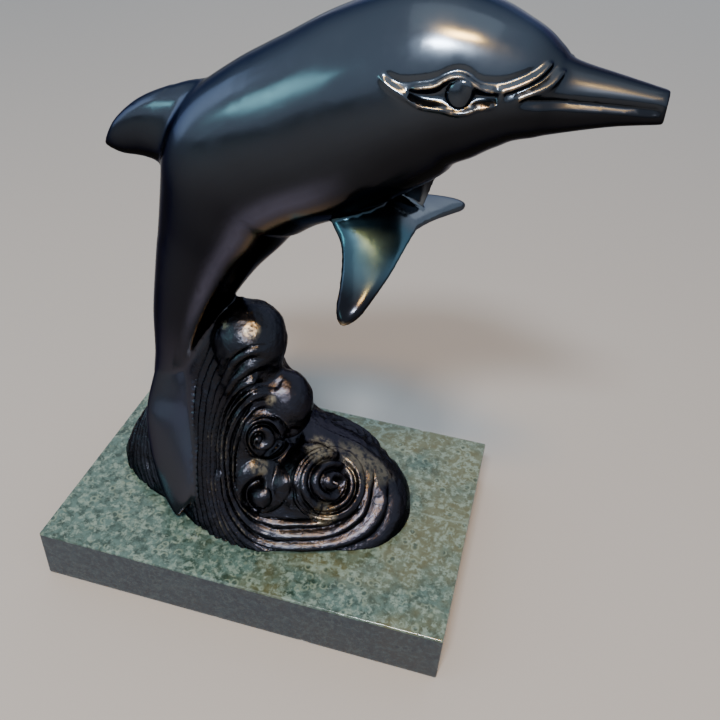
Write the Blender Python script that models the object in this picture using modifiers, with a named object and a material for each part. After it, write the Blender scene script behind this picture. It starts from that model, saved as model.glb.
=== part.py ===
"""Bronze dolphin leaping over a curling wave, on a slab of green marble.

The dolphin and its wave are one casting, and the marble slab under it is the other piece.
Metres, +Z up, +X towards the beak. The origin is the middle of the slab's underside.

The figure is drawn on a grid of its own, 190 units to its height, from the foot of the casting up.
The dolphin's middle plane is turned a little about the tail, so the dolphin's own points are
(forward, sideways, up). The wave's points are plain (x, y, z).
"""

import math
from typing import NamedTuple

import bmesh
import bpy
import numpy as np
from mathutils import Matrix


class Fin(NamedTuple):
    """A blade between two edges, each given from root to tip, with its thickness at either end."""

    leading: tuple
    trailing: tuple
    root_thickness: float
    tip_thickness: float


class Lump(NamedTuple):
    """A rounded mass of the wave."""

    centre: tuple
    radii: tuple


class Ribs(NamedTuple):
    """Ribs spread evenly between two lines of the relief."""

    first: tuple
    last: tuple
    count: int


class Curl(NamedTuple):
    """A rolled end of the wave, whose turns wind inwards to its heart, anticlockwise where hand is 1."""

    centre: tuple
    heart: tuple
    radius: float
    pitch: float
    rise: float
    hand: int


class Round(NamedTuple):
    """A round boss of the relief, or a hollow where the rise is negative."""

    centre: tuple
    radius: float
    rise: float


# Driving sizes, in metres
PLINTH_LENGTH = 0.150
PLINTH_WIDTH = 0.100
PLINTH_THICKNESS = 0.022
PLINTH_CORNER_RADIUS = 0.0018
PLINTH_ARRIS = 0.0008
SEAT_GAP = 0.0003
FIGURE_HEIGHT = 0.190

# The grid of the figure
GRID_UNITS_HIGH = 190
GRID = FIGURE_HEIGHT / GRID_UNITS_HIGH

# How finely the casting is worked: cell of the skin, passes of smoothing, and facets
VOXEL = 0.7
FILLET_PASSES = 5
MELT_PASSES = 14
MELT_REACH = (1.45, 1.25)
CASTING_TRIANGLES = 9300

# Pose of the dolphin's middle plane
YAW = math.radians(6.0)
TAIL_AXIS = (-42.0, 1.0)

# Sections of the body from beak to tail: forward, up, half depth, half width
BODY_SECTIONS = (
    (101.2, 170.8, 3.8, 4.0),
    (89.7, 170.4, 5.9, 6.2),
    (78.6, 169.6, 8.5, 9.0),
    (73.6, 169.8, 11.0, 11.8),
    (66.0, 170.6, 14.8, 15.0),
    (56.4, 170.2, 19.2, 18.3),
    (44.7, 167.8, 22.6, 21.0),
    (31.3, 160.3, 24.7, 22.0),
    (17.4, 151.4, 25.3, 21.8),
    (2.8, 143.0, 25.0, 21.1),
    (-8.9, 133.2, 24.8, 19.7),
    (-15.8, 119.9, 21.3, 17.2),
    (-22.0, 106.6, 17.5, 14.2),
    (-28.3, 91.0, 14.2, 11.7),
    (-34.1, 73.6, 11.4, 9.4),
    (-37.6, 56.1, 9.5, 7.6),
    (-40.6, 40.0, 8.8, 6.4),
    (-41.0, 26.0, 6.0, 5.0),
)
SECTION_POWER = 2.15
BODY_SIDES = 48
SPAN_STEPS = 6

# Edge between flank and belly: where it lies round the section, and how far it stands out
BELLY_EDGE_ANGLE = math.radians(128.0)
BELLY_EDGE_SPREAD = math.radians(14.0)
BELLY_EDGE_RISE = 0.085
BELLY_EDGE_FROM = 34.0
BELLY_EDGE_RAMP = 20.0

DORSAL_FIN = Fin(
    leading=(
        (2, 0, 148), (-9.5, 0, 156.5), (-22.4, 0, 156.8),
        (-33, 0, 153), (-43, 0, 148), (-51.5, 0, 141), (-58.2, 0, 132.8),
    ),
    trailing=(
        (-18, 0, 112), (-28, 0, 121.5), (-35.5, 0, 128.2),
        (-41.5, 0, 129.9), (-49.5, 0, 129.3), (-56.4, 0, 129.1),
    ),
    root_thickness=25.0,
    tip_thickness=4.0,
)
NEAR_FLIPPER = Fin(
    leading=((45.2, 0, 125.7), (45, -8, 124.2), (44.1, -17, 120.4), (42.4, -25, 116.7), (39.5, -33, 111.2)),
    trailing=((24, 0, 134), (22.7, -10, 129.5), (28, -15, 124), (31.4, -23, 118), (33.6, -33, 110)),
    root_thickness=5.6,
    tip_thickness=3.6,
)
FAR_FLIPPER = Fin(
    leading=((45.2, 0, 125.7), (46.4, 7, 124.8), (48, 14, 123.7), (50.1, 24, 121.3), (52.4, 33, 119.6)),
    trailing=((24, 0, 134), (27, 9, 131), (36, 17, 127.5), (43.6, 25, 124.6), (48.8, 33, 120.4)),
    root_thickness=5.6,
    tip_thickness=3.6,
)
FLIPPER_STRUT = Fin(
    leading=((48, 9, 142.5), (45.4, 9.5, 134), (43.4, 9.5, 126.5)),
    trailing=((28, 9, 142), (28, 9.5, 134), (28, 9.5, 128)),
    root_thickness=3.0,
    tip_thickness=3.0,
)
NEAR_FLUKE = Fin(
    leading=(
        (-46, -1, 52), (-48.6, -6, 38), (-47, -12, 31),
        (-43.5, -17, 21), (-38.2, -22, 12), (-30, -27.5, 1.5),
    ),
    trailing=(
        (-27.5, -1, 58), (-23.8, -7, 50), (-24, -13, 37),
        (-22.8, -19.5, 25), (-22, -25, 12), (-25, -28.5, 1.5),
    ),
    root_thickness=9.0,
    tip_thickness=3.4,
)
FIN_POWER = 2.3
FIN_STEPS = 28
FIN_SIDES = 28
TIP_ROUNDING = 0.14
TIP_SHARE_LEFT = 0.1

# Wave: x, height of the crest line, half width of the foot, fullness of the arch across it
WAVE_SECTIONS = (
    (-66.0, 2.0, 1.5, 2.0),
    (-63.0, 9.0, 6.0, 1.9),
    (-60.5, 15.0, 9.0, 1.8),
    (-55.0, 25.0, 13.4, 1.6),
    (-50.5, 32.0, 16.4, 1.4),
    (-44.0, 46.0, 19.0, 1.2),
    (-37.0, 64.0, 21.0, 1.1),
    (-31.0, 76.0, 24.0, 1.1),
    (-24.0, 82.5, 28.5, 1.15),
    (-16.0, 85.0, 32.0, 1.3),
    (-10.0, 84.0, 33.5, 1.45),
    (-5.5, 70.0, 34.2, 1.55),
    (-1.5, 54.0, 34.3, 1.7),
    (2.5, 42.0, 34.0, 1.8),
    (8.0, 34.5, 33.4, 1.9),
    (14.0, 30.5, 32.3, 2.0),
    (20.0, 28.5, 30.8, 2.0),
    (29.0, 26.0, 27.6, 2.0),
    (36.0, 22.5, 24.2, 2.0),
    (42.0, 18.5, 20.5, 2.0),
    (47.0, 14.0, 15.5, 2.0),
    (50.5, 8.5, 9.0, 2.0),
    (52.3, 2.0, 2.0, 2.0),
)
WAVE_FOOT = -3.0
WAVE_SPAN_STEPS = 4
ARCH_STEPS = 40

# The crests that roll forward, from the top one down
CRESTS = (
    Lump((-9.0, -3.0, 70.5), (12.5, 14.5, 14.5)),
    Lump((-8.0, -7.0, 59.0), (11.0, 13.0, 16.0)),
    Lump((5.0, -6.0, 48.2), (9.5, 11.0, 13.3)),
    Lump((-2.0, 8.0, 38.0), (9.5, 13.0, 10.5)),
    Lump((-3.0, -17.0, 43.0), (8.5, 8.0, 9.0)),
    Lump((15.0, -13.0, 22.0), (12.5, 14.0, 12.5)),
)

# Carving of the head on either flank, in the dolphin's (forward, up)
LOWER_LID = (
    (37.3, 173.7), (40.7, 171.4), (44.7, 169.6), (48.4, 168.1), (52.9, 167.8), (56.2, 167.2),
    (58.8, 167.8), (61.0, 168.9), (65.5, 169.7),
)
UPPER_LID = (
    (45.2, 171.5), (49.4, 172.3), (51.5, 173.1), (52.9, 174.3), (55.2, 175.2), (57.6, 174.8),
    (59.3, 173.8), (61.1, 173.0), (64.7, 172.4),
)
LID_CREASE = (
    (37.7, 174.2), (42.2, 172.6), (46.8, 173.2), (49.5, 173.9), (51.8, 174.8), (53.7, 176.0), (55.8, 176.6),
    (57.7, 176.1), (59.1, 175.1), (61.4, 174.4), (65.8, 174.8), (70.5, 177.0), (73.4, 179.0),
)
UPPER_STRAND = ((64.4, 172.6), (66.4, 173.2), (68.6, 174.1), (70.9, 175.3), (72.8, 176.7), (74.7, 179.0))
STRAND_GROOVE = ((65.7, 171.6), (67.9, 172.4), (70.2, 173.6), (72.4, 174.9), (74.2, 176.4), (75.8, 179.0))
LOWER_STRAND = ((68.3, 171.0), (70.1, 171.8), (72.0, 172.8), (74.1, 173.7), (75.8, 175.0), (77.2, 177.6))
MOUTH_LINE = ((68.6, 170.6), (78.1, 170.6), (86.8, 170.7), (97.7, 170.8), (101.6, 170.8))
FIN_FOLD = ((-18.6, 156.5), (-18.5, 154.2), (-19.6, 151.4), (-21.0, 148.8), (-22.5, 145.9))
EYE = Round((56.5, 171.4), 3.2, 2.4)
SOCKET_DEPTH = 1.6
SOCKET_FULL = 3.0
LID_RISE = 0.9
LID_WIDTH = 0.9
CREASE_DEPTH = 0.7
CREASE_WIDTH = 1.0
STRAND_RISE = 0.9
STRAND_WIDTH = 0.9
FOLD_DEPTH = 0.5
FOLD_WIDTH = 1.2
MOUTH_DEPTH = 1.1
MOUTH_WIDTH = 0.9
HEAD_LINES = (
    (LOWER_LID, LID_RISE, LID_WIDTH),
    (UPPER_LID, LID_RISE, LID_WIDTH),
    (LID_CREASE, -CREASE_DEPTH, CREASE_WIDTH),
    (UPPER_STRAND, STRAND_RISE, STRAND_WIDTH),
    (STRAND_GROOVE, -CREASE_DEPTH, CREASE_WIDTH),
    (LOWER_STRAND, STRAND_RISE, STRAND_WIDTH),
    (MOUTH_LINE, -MOUTH_DEPTH, MOUTH_WIDTH),
    (FIN_FOLD, -FOLD_DEPTH, FOLD_WIDTH),
)
FLANK_FACING = (0.25, 0.6)
FLANK_OFFSET = (1.0, 2.5)

# The wave's relief is laid out as (right, up) on a plane through FACE_MIDDLE, square to the line
# from there to FACED_POINT, and is thrown onto the wave from that point
FACE_MIDDLE = (10.0, -22.0, 29.7)
FACED_POINT = (76.6, -208.7, 232.5)
STOCK_LINE = (
    (-26.4, 48.0), (-29.6, 40.5), (-32.0, 32.5), (-32.6, 22.0), (-32.5, 9.8),
    (-32.4, 1.2), (-31.8, -7.4), (-30.4, -14.7), (-27.6, -22.0),
)
ARC_LINE = (
    (-5.5, 46.4), (-11.2, 46.1), (-14.7, 44.9), (-18.2, 42.5), (-21.1, 39.5), (-23.6, 35.0),
    (-25.4, 29.0), (-27.0, 19.0), (-27.8, 8.0), (-27.6, -3.0), (-26.4, -11.0), (-22.5, -22.0),
)
DIVIDING_LINE = (
    (-3.5, 32.2), (-7.6, 30.7), (-11.5, 29.9), (-15.2, 28.4), (-19.3, 24.7),
    (-22.1, 20.7), (-23.5, 15.4), (-24.0, 9.7), (-24.0, 3.9), (-23.8, -1.8),
)
COLUMN_FOOT = ((-23.0, -8.0), (-20.9, -14.6), (-17.6, -20.2), (-13.6, -24.8), (-8.0, -28.6))
SWEEP_FOOT = (
    (-22.9, -8.1), (-20.7, -14.4), (-17.3, -19.5), (-13.3, -23.5), (-7.6, -26.8), (-0.8, -28.5),
    (7.2, -29.0), (14.1, -28.9), (21.1, -27.8), (28.1, -25.1), (34.1, -21.3), (38.3, -16.2), (39.8, -10.6),
    (39.6, -5.0), (37.6, 1.0),
)
INNER_LINE = (
    (-4.6, 25.0), (-9.4, 24.1), (-12.9, 21.2), (-15.0, 16.5), (-16.6, 9.5), (-17.0, 1.5),
    (-16.4, -6.0), (-13.6, -10.6), (-9.0, -13.4), (-1.5, -14.4), (6.5, -16.0), (15.0, -15.5),
    (21.0, -12.2), (23.8, -7.3), (24.2, -1.5), (22.8, 4.5), (19.8, 9.5),
)
TAIL_END_OUTER = ((-45.5, 30.5), (-49.6, 22.5), (-52.4, 13.6), (-52.8, 4.0), (-49.0, -6.0))
TAIL_END_INNER = ((-44.1, 26.7), (-46.0, 18.0), (-45.9, 9.4), (-44.0, 0.8), (-40.8, -7.7))
RIB_FAMILIES = (
    Ribs(STOCK_LINE, ARC_LINE, 2),
    Ribs(ARC_LINE, DIVIDING_LINE + COLUMN_FOOT, 3),
    Ribs(DIVIDING_LINE + SWEEP_FOOT, INNER_LINE, 3),
    Ribs(TAIL_END_OUTER, TAIL_END_INNER, 2),
)
RIB_GROOVE_DEPTH = 2.3
RIB_GROOVE_WIDTH = 0.9
DIVIDE_DEPTH = 1.6
DIVIDE_WIDTH = 1.2
LINE_STEPS = 36
LINE_END_SHARE = 0.09
CURLS = (
    Curl((-6.0, 13.2), (-3.8, -0.8), 8.6, 2.9, 2.2, -1),
    Curl((15.0, -3.4), (1.2, 0.6), 11.5, 3.7, 2.6, 1),
)
CURL_GROOVE = 2.4
CURL_RIM = 1.0
HOOD = Round((-7.9, -3.4), 9.5, 2.8)
HOOD_CRESCENT = ((-7.4, -1.6), (-10.6, -2.4), (-13.0, -5.0), (-13.3, -8.4), (-11.6, -11.2), (-8.4, -12.6))
CRESCENT_DEPTH = 3.4
CRESCENT_WIDTH = 1.7
PITS = (
    Round((-6.0, 33.8), 5.4, -2.8),
    Round((3.6, 13.4), 3.8, -2.4),
    Round((2.0, -5.6), 3.2, -1.8),
)
BEAD = Round((-8.3, -7.0), 3.8, 1.6)
BOSS_POWER = 0.5
HOLLOW_POWER = 1.5
BACK_SHARE = 0.75
FRONT_FACING = (0.1, 0.35)
FRONT_UP_TO = 6.0
BACK_FROM = (11.0, 17.0)
BACK_FACING = (0.35, 0.65)

# Where the relief ends: near the top of the wave, and a little short of the stock and the flukes
WAVE_TOP = 88.0
WAVE_TOP_FADE = 3.0
STOCK_UP_TO = 125.0
SMOOTH_MARGIN = 1.2
SMOOTH_FADE = (1.0, 1.2)

BRONZE_COLOUR = (0.045, 0.042, 0.042)
BRONZE_ROUGHNESS = 0.28
MARBLE_COLOUR = (0.085, 0.125, 0.095)
MARBLE_ROUGHNESS = 0.25


def unit(vector):
    """The vector at length 1."""
    return vector / np.linalg.norm(vector)


def power(value, exponent):
    """Signed power, for superellipses."""
    return np.sign(value) * np.abs(value) ** exponent


def fade(value, start, end):
    """0 at start, 1 at end, eased between."""
    share = np.clip((value - start) / (end - start), 0, 1)
    return share * share * (3 - 2 * share)


def smooth_line(points, steps=SPAN_STEPS):
    """Catmull-Rom curve through the points, in as many dimensions as they have."""
    points = np.asarray(points, float)
    ends = np.vstack([2 * points[0] - points[1], points, 2 * points[-1] - points[-2]])
    found = []
    for before, start, end, after in zip(ends, ends[1:], ends[2:], ends[3:]):
        for t in np.arange(steps) / steps:
            bend = 2 * before - 5 * start + 4 * end - after
            twist = 3 * start - before - 3 * end + after
            found.append((2 * start + (end - before) * t + bend * t**2 + twist * t**3) / 2)
    return np.array(found + [points[-1]])


def even_line(points, count):
    """The smooth line as this many points, evenly spread along it."""
    line = smooth_line(points)
    lengths = np.linalg.norm(np.diff(line, axis=0), axis=1)
    run = np.concatenate([[0], np.cumsum(lengths)])
    wanted = np.linspace(0, run[-1], count)
    return np.stack([np.interp(wanted, run, column) for column in line.T], axis=-1)


def from_dolphin(points):
    """Points of the dolphin's own frame, (forward, sideways, up), as (x, y, z)."""
    points = np.asarray(points, float)
    forward = points[..., 0] - TAIL_AXIS[0]
    x = TAIL_AXIS[0] + forward * math.cos(YAW) + points[..., 1] * math.sin(YAW)
    y = TAIL_AXIS[1] - forward * math.sin(YAW) + points[..., 1] * math.cos(YAW)
    return np.stack([x, y, points[..., 2]], axis=-1)


def to_dolphin(points):
    """The way back from (x, y, z) to the dolphin's own frame."""
    x = points[..., 0] - TAIL_AXIS[0]
    y = points[..., 1] - TAIL_AXIS[1]
    forward = TAIL_AXIS[0] + x * math.cos(YAW) - y * math.sin(YAW)
    sideways = x * math.sin(YAW) + y * math.cos(YAW)
    return np.stack([forward, sideways, points[..., 2]], axis=-1)


def loft(rings):
    """Closed mesh through rings of equal length, with a flat cap at each end."""
    count = len(rings[0])
    faces = [tuple(reversed(range(count)))]
    for ring in range(len(rings) - 1):
        for side in range(count):
            here = ring * count + side
            there = ring * count + (side + 1) % count
            faces.append((here, there, there + count, here + count))
    faces.append(tuple(range(len(rings) * count - count, len(rings) * count)))
    mesh = bpy.data.meshes.new("loft")
    mesh.from_pydata([tuple(point) for point in np.concatenate(rings)], [], faces)
    return mesh


def body_rings():
    """Rings of the body, with the edge that divides flank and belly."""
    line = smooth_line(BODY_SECTIONS)
    angles = np.linspace(0, 2 * math.pi, BODY_SIDES, endpoint=False)
    from_back = math.pi - np.abs(angles - math.pi)
    edge = np.exp(-np.abs(from_back - BELLY_EDGE_ANGLE) / BELLY_EDGE_SPREAD)
    rings = []
    for row, (forward, up, depth, width) in enumerate(line):
        before, after = line[max(row - 1, 0)], line[min(row + 1, len(line) - 1)]
        along = unit(after[:2] - before[:2])
        strength = np.clip((BELLY_EDGE_FROM - forward) / BELLY_EDGE_RAMP, 0, 1)
        swell = 1 + BELLY_EDGE_RISE * strength * edge
        out = depth * power(np.cos(angles), 2 / SECTION_POWER) * swell
        aside = width * power(np.sin(angles), 2 / SECTION_POWER) * swell
        ring = np.stack([forward + along[1] * out, aside, up - along[0] * out], axis=-1)
        rings.append(from_dolphin(ring))
    return rings


def fin_frames(fin):
    """For steps from root to tip: middle, half chord, direction across the blade, half thickness."""
    leading, trailing = even_line(fin.leading, FIN_STEPS), even_line(fin.trailing, FIN_STEPS)
    middle = (leading + trailing) / 2
    step = np.gradient(middle, axis=0)
    frames = []
    for row, t in enumerate(np.linspace(0, 1, FIN_STEPS)):
        chord = (leading[row] - trailing[row]) / 2
        across = unit(np.cross(step[row], chord))
        into_tip = max(0.0, (t - 1 + TIP_ROUNDING) / TIP_ROUNDING)
        rounding = math.sqrt(1 - into_tip**2 * (1 - TIP_SHARE_LEFT))
        thickness = fin.root_thickness + (fin.tip_thickness - fin.root_thickness) * t
        frames.append((middle[row], chord * rounding, across, thickness / 2 * rounding))
    return frames


def fin_rings(fin):
    """Rings of a fin: a blade with round edges."""
    angles = np.linspace(0, 2 * math.pi, FIN_SIDES, endpoint=False)
    rings = []
    for middle, chord, across, half in fin_frames(fin):
        along = np.outer(power(np.cos(angles), 2 / FIN_POWER), chord)
        proud = np.outer(power(np.sin(angles), 2 / FIN_POWER), across * half)
        rings.append(from_dolphin(middle + along + proud))
    return rings


def mirrored(fin):
    """The same fin on the dolphin's other side."""
    leading = tuple((forward, -sideways, up) for forward, sideways, up in fin.leading)
    trailing = tuple((forward, -sideways, up) for forward, sideways, up in fin.trailing)
    return fin._replace(leading=leading, trailing=trailing)


def wave_rings():
    """Rings of the wave, each an arch across it standing on the slab."""
    angles = np.linspace(0, math.pi, ARCH_STEPS)
    rings = []
    for x, height, foot, fullness in smooth_line(WAVE_SECTIONS, WAVE_SPAN_STEPS):
        y = foot * power(np.cos(angles), 2 / fullness)
        z = height * power(np.sin(angles), 2 / fullness)
        arch = np.stack([np.full(ARCH_STEPS, x), y, z], axis=-1)
        rings.append(np.vstack([arch, (x, -foot, WAVE_FOOT), (x, foot, WAVE_FOOT)]))
    return rings


def lump_mesh(lump):
    """A rounded mass as a mesh."""
    made = bmesh.new()
    matrix = Matrix.Translation(lump.centre) @ Matrix.Diagonal((*lump.radii, 1.0))
    bmesh.ops.create_icosphere(made, subdivisions=4, radius=1, matrix=matrix)
    mesh = bpy.data.meshes.new("lump")
    made.to_mesh(mesh)
    made.free()
    return mesh


def from_line(points, line):
    """Distance of flat points from a line, and how far along it their nearest place is."""
    best = np.full(len(points), np.inf)
    along = np.zeros(len(points))
    for number, (start, end) in enumerate(zip(line, line[1:])):
        run = end - start
        offset = points - start
        t = np.clip(offset @ run / (run @ run), 0, 1)
        distance = np.linalg.norm(offset - t[:, None] * run, axis=1)
        nearer = distance < best
        along = np.where(nearer, (number + t) / (len(line) - 1), along)
        best = np.where(nearer, distance, best)
    return best, along


def groove(points, line, width):
    """1 on the line, falling off to its sides and running out at its ends."""
    distance, along = from_line(points, line)
    open_end = fade(along, 0, LINE_END_SHARE) * fade(1 - along, 0, LINE_END_SHARE)
    return np.exp(-((distance / width) ** 2)) * open_end


def dome(points, form):
    """Height of a round form: a boss is half a ball, and a hollow runs out softly."""
    away = np.linalg.norm(points - np.array(form.centre), axis=1) / form.radius
    return np.clip(1 - away**2, 0, 1) ** (BOSS_POWER if form.rise > 0 else HOLLOW_POWER)


def eye_socket(flat):
    """Depth of the socket between the two lids, 1 at its deepest."""
    lower, upper = even_line(LOWER_LID, LINE_STEPS), even_line(UPPER_LID, LINE_STEPS)
    floor = np.interp(flat[:, 0], lower[:, 0], lower[:, 1])
    roof = np.interp(flat[:, 0], upper[:, 0], upper[:, 1])
    inside = (flat[:, 1] > floor) & (flat[:, 1] < roof)
    inside &= (flat[:, 0] > upper[0, 0]) & (flat[:, 0] < upper[-1, 0])
    share = (flat[:, 1] - floor) / np.where(inside, roof - floor, 1)
    return np.where(inside, 1 - (2 * share - 1) ** 2, 0) * fade(roof - floor, 0, SOCKET_FULL)


def head_relief(points, normals):
    """How far the skin of the head and fin is raised or sunk."""
    own = to_dolphin(points)
    flat = own[:, [0, 2]]
    turned = to_dolphin(points + normals) - own
    flank = fade(turned[:, 1] * np.sign(own[:, 1]), *FLANK_FACING)
    flank *= fade(np.abs(own[:, 1]), *FLANK_OFFSET)
    rise = EYE.rise * dome(flat, EYE) - SOCKET_DEPTH * eye_socket(flat)
    for line, height, width in HEAD_LINES:
        rise += height * groove(flat, even_line(line, LINE_STEPS), width)
    return rise * flank


def on_face(points):
    """Points as (right, up) on the plane of the relief, seen from the point that it faces."""
    middle, eye = np.array(FACE_MIDDLE), np.array(FACED_POINT)
    normal = unit(eye - middle)
    right = unit(np.cross((0, 0, 1), normal))
    up = np.cross(normal, right)
    sight = points - eye
    reach = ((middle - eye) @ normal) / (sight @ normal)
    landed = eye + sight * reach[:, None] - middle
    return np.stack([landed @ right, landed @ up], axis=-1)


def rib_grooves(flat):
    """Depth of the grooves that part the ribs, 1 at the deepest."""
    deepest = np.zeros(len(flat))
    for family in RIB_FAMILIES:
        first, last = even_line(family.first, LINE_STEPS), even_line(family.last, LINE_STEPS)
        for share in np.linspace(0, 1, family.count + 1):
            line = first * (1 - share) + last * share
            deepest = np.maximum(deepest, groove(flat, line, RIB_GROOVE_WIDTH))
    return deepest


def around_heart(offset, heart, radius):
    """Offset from the middle of the circle through each point, and that circle's share of the rim.

    The circles shrink from the rim, round offset 0, to the heart.
    """
    from_heart = offset - heart
    square = heart @ heart - radius**2
    linear = 2 * from_heart @ heart
    root = np.sqrt(linear**2 - 4 * square * np.sum(from_heart**2, axis=1))
    share = -(linear + root) / (2 * square)
    return from_heart + np.outer(share, heart), share


def curl_relief(flat, curl):
    """Height of one curl and how much of the skin it takes: its turns are round ridges."""
    offset = flat - np.array(curl.centre)
    away = np.linalg.norm(offset, axis=1)
    wound, share = around_heart(offset, np.array(curl.heart), curl.radius)
    angle = np.arctan2(wound[:, 1], wound[:, 0])
    turn = share * curl.radius / curl.pitch + curl.hand * angle / (2 * math.pi)
    ridges = np.sqrt(np.abs(np.sin(math.pi * turn)))
    bulge = curl.rise * np.sqrt(np.clip(1 - (away / curl.radius) ** 2, 0, 1))
    inside = fade(curl.radius - away, 0, CURL_RIM)
    return bulge - CURL_GROOVE * (1 - ridges), inside


def ribs_and_curls(flat, curls):
    """Height of the ribs and of these curls."""
    rise = -RIB_GROOVE_DEPTH * rib_grooves(flat)
    for curl in curls:
        height, inside = curl_relief(flat, curl)
        rise = rise * (1 - inside) + height * inside
    return rise


def front_relief(flat):
    """The carved front of the wave."""
    rise = ribs_and_curls(flat, CURLS)
    rise -= DIVIDE_DEPTH * groove(flat, even_line(DIVIDING_LINE, LINE_STEPS), DIVIDE_WIDTH)
    away = np.linalg.norm(flat - np.array(HOOD.centre), axis=1)
    rise *= 1 - fade(HOOD.radius - away, 0, CURL_RIM)
    for form in (HOOD, *PITS, BEAD):
        rise += form.rise * dome(flat, form)
    return rise - CRESCENT_DEPTH * groove(flat, even_line(HOOD_CRESCENT, LINE_STEPS), CRESCENT_WIDTH)


def facing(points, normals):
    """How squarely the skin faces the point that the relief is thrown from."""
    sight = np.array(FACED_POINT) - points
    sight /= np.linalg.norm(sight, axis=1)[:, None]
    return fade(np.sum(normals * sight, axis=1), *FRONT_FACING)


def wave_relief(points, normals):
    """How far the skin of the wave is raised or sunk, more plainly behind than in front."""
    mirror = np.array([1.0, -1.0, 1.0])
    behind = fade(points[:, 1], *BACK_FROM) * fade(normals[:, 1], *BACK_FACING)
    front = facing(points, normals) * (points[:, 1] < FRONT_UP_TO)
    back = facing(points * mirror, normals * mirror) * behind
    rise = front_relief(on_face(points)) * front
    return rise + BACK_SHARE * ribs_and_curls(on_face(points * mirror), CURLS[1:]) * back


def off_stock(own):
    """0 on the stock of the tail, 1 away from it."""
    stock = smooth_line([row for row in BODY_SECTIONS if row[1] < STOCK_UP_TO])
    nearest = np.full(len(own), np.inf)
    for forward, up, depth, width in stock:
        away = ((own[:, 0] - forward) / (depth + SMOOTH_MARGIN)) ** 2
        away += (own[:, 1] / (width + SMOOTH_MARGIN)) ** 2
        away += ((own[:, 2] - up) / (depth + SMOOTH_MARGIN)) ** 2
        nearest = np.minimum(nearest, away)
    return fade(np.sqrt(nearest), *SMOOTH_FADE)


def off_fin(own, fin):
    """0 on the blade of a fin, 1 away from it."""
    frames = fin_frames(fin)
    spacing = np.linalg.norm(frames[1][0] - frames[0][0]) + SMOOTH_MARGIN
    nearest = np.full(len(own), np.inf)
    for middle, chord, across, half in frames:
        width = np.linalg.norm(chord)
        offset = own - middle
        wide = offset @ (chord / width)
        thick = offset @ across
        rest = np.maximum(np.sum(offset**2, axis=1) - wide**2 - thick**2, 0)
        away = (wide / (width + SMOOTH_MARGIN)) ** 2 + (thick / (half + SMOOTH_MARGIN)) ** 2
        nearest = np.minimum(nearest, away + rest / spacing**2)
    return fade(np.sqrt(nearest), *SMOOTH_FADE)


def wave_share(points):
    """1 on the wave, 0 on the tail, its flukes and everything above the wave."""
    own = to_dolphin(points)
    share = fade(WAVE_TOP - points[:, 2], 0, WAVE_TOP_FADE) * off_stock(own)
    for fluke in (NEAR_FLUKE, mirrored(NEAR_FLUKE)):
        share *= off_fin(own, fluke)
    return share


def skin(obj):
    """Points and normals of the object's mesh."""
    count = len(obj.data.vertices)
    points, normals = np.empty(count * 3, np.float32), np.empty(count * 3, np.float32)
    obj.data.vertices.foreach_get("co", points)
    obj.data.vertices.foreach_get("normal", normals)
    return points.reshape(-1, 3).astype(float), normals.reshape(-1, 3).astype(float)


def melted(obj):
    """Smooths the crests of the wave into each other."""
    points, _ = skin(obj)
    share = wave_share(points)
    made = bmesh.new()
    made.from_mesh(obj.data)
    made.verts.ensure_lookup_table()
    for reach in MELT_REACH:
        near = np.zeros(len(points), bool)
        for lump in CRESTS:
            away = np.linalg.norm((points - np.array(lump.centre)) / np.array(lump.radii), axis=1)
            near |= away < reach
        soft = [made.verts[int(number)] for number in np.flatnonzero(near & (share > 0.5))]
        for _ in range(MELT_PASSES):
            bmesh.ops.smooth_vert(
                made, verts=soft, factor=0.5, use_axis_x=True, use_axis_y=True, use_axis_z=True
            )
    made.to_mesh(obj.data)
    made.free()


def carved(obj):
    """Moves each point of the skin along its normal by the height of the relief."""
    points, normals = skin(obj)
    share = wave_share(points)
    rise = head_relief(points, normals) * (1 - share) + wave_relief(points, normals) * share
    obj.data.vertices.foreach_set("co", (points + normals * rise[:, None]).ravel())
    obj.data.update()


def applied(obj):
    """Applies the object's modifiers to its mesh."""
    graph = bpy.context.evaluated_depsgraph_get()
    mesh = bpy.data.meshes.new_from_object(obj.evaluated_get(graph))
    obj.modifiers.clear()
    old, obj.data = obj.data, mesh
    bpy.data.meshes.remove(old)


def fused(name, meshes):
    """One closed skin round all the meshes, with small fillets where they meet."""
    made = bmesh.new()
    for mesh in meshes:
        made.from_mesh(mesh)
        bpy.data.meshes.remove(mesh)
    bmesh.ops.recalc_face_normals(made, faces=made.faces)
    whole = bpy.data.meshes.new(name)
    made.to_mesh(whole)
    made.free()
    obj = bpy.data.objects.new(name, whole)
    bpy.context.scene.collection.objects.link(obj)
    remesh = obj.modifiers.new("one skin", "REMESH")
    remesh.mode = "VOXEL"
    remesh.voxel_size = VOXEL
    smooth = obj.modifiers.new("fillets", "SMOOTH")
    smooth.factor = 0.5
    smooth.iterations = FILLET_PASSES
    applied(obj)
    return obj


def thinned(obj, triangles):
    """Leaves about this many triangles, kept where the form needs them."""
    now = sum(len(face.vertices) - 2 for face in obj.data.polygons)
    decimate = obj.modifiers.new("facets", "DECIMATE")
    decimate.ratio = min(1.0, triangles / now)
    applied(obj)


def cut_flat(obj):
    """Cuts the foot flat at height 0 and closes it."""
    made = bmesh.new()
    made.from_mesh(obj.data)
    cut = bmesh.ops.bisect_plane(
        made,
        geom=list(made.verts) + list(made.edges) + list(made.faces),
        plane_co=(0, 0, 0),
        plane_no=(0, 0, 1),
        clear_inner=True,
    )
    rim = [item for item in cut["geom_cut"] if isinstance(item, bmesh.types.BMEdge)]
    bmesh.ops.triangle_fill(made, use_beauty=True, use_dissolve=False, edges=rim)
    bmesh.ops.recalc_face_normals(made, faces=made.faces)
    made.to_mesh(obj.data)
    made.free()


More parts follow.
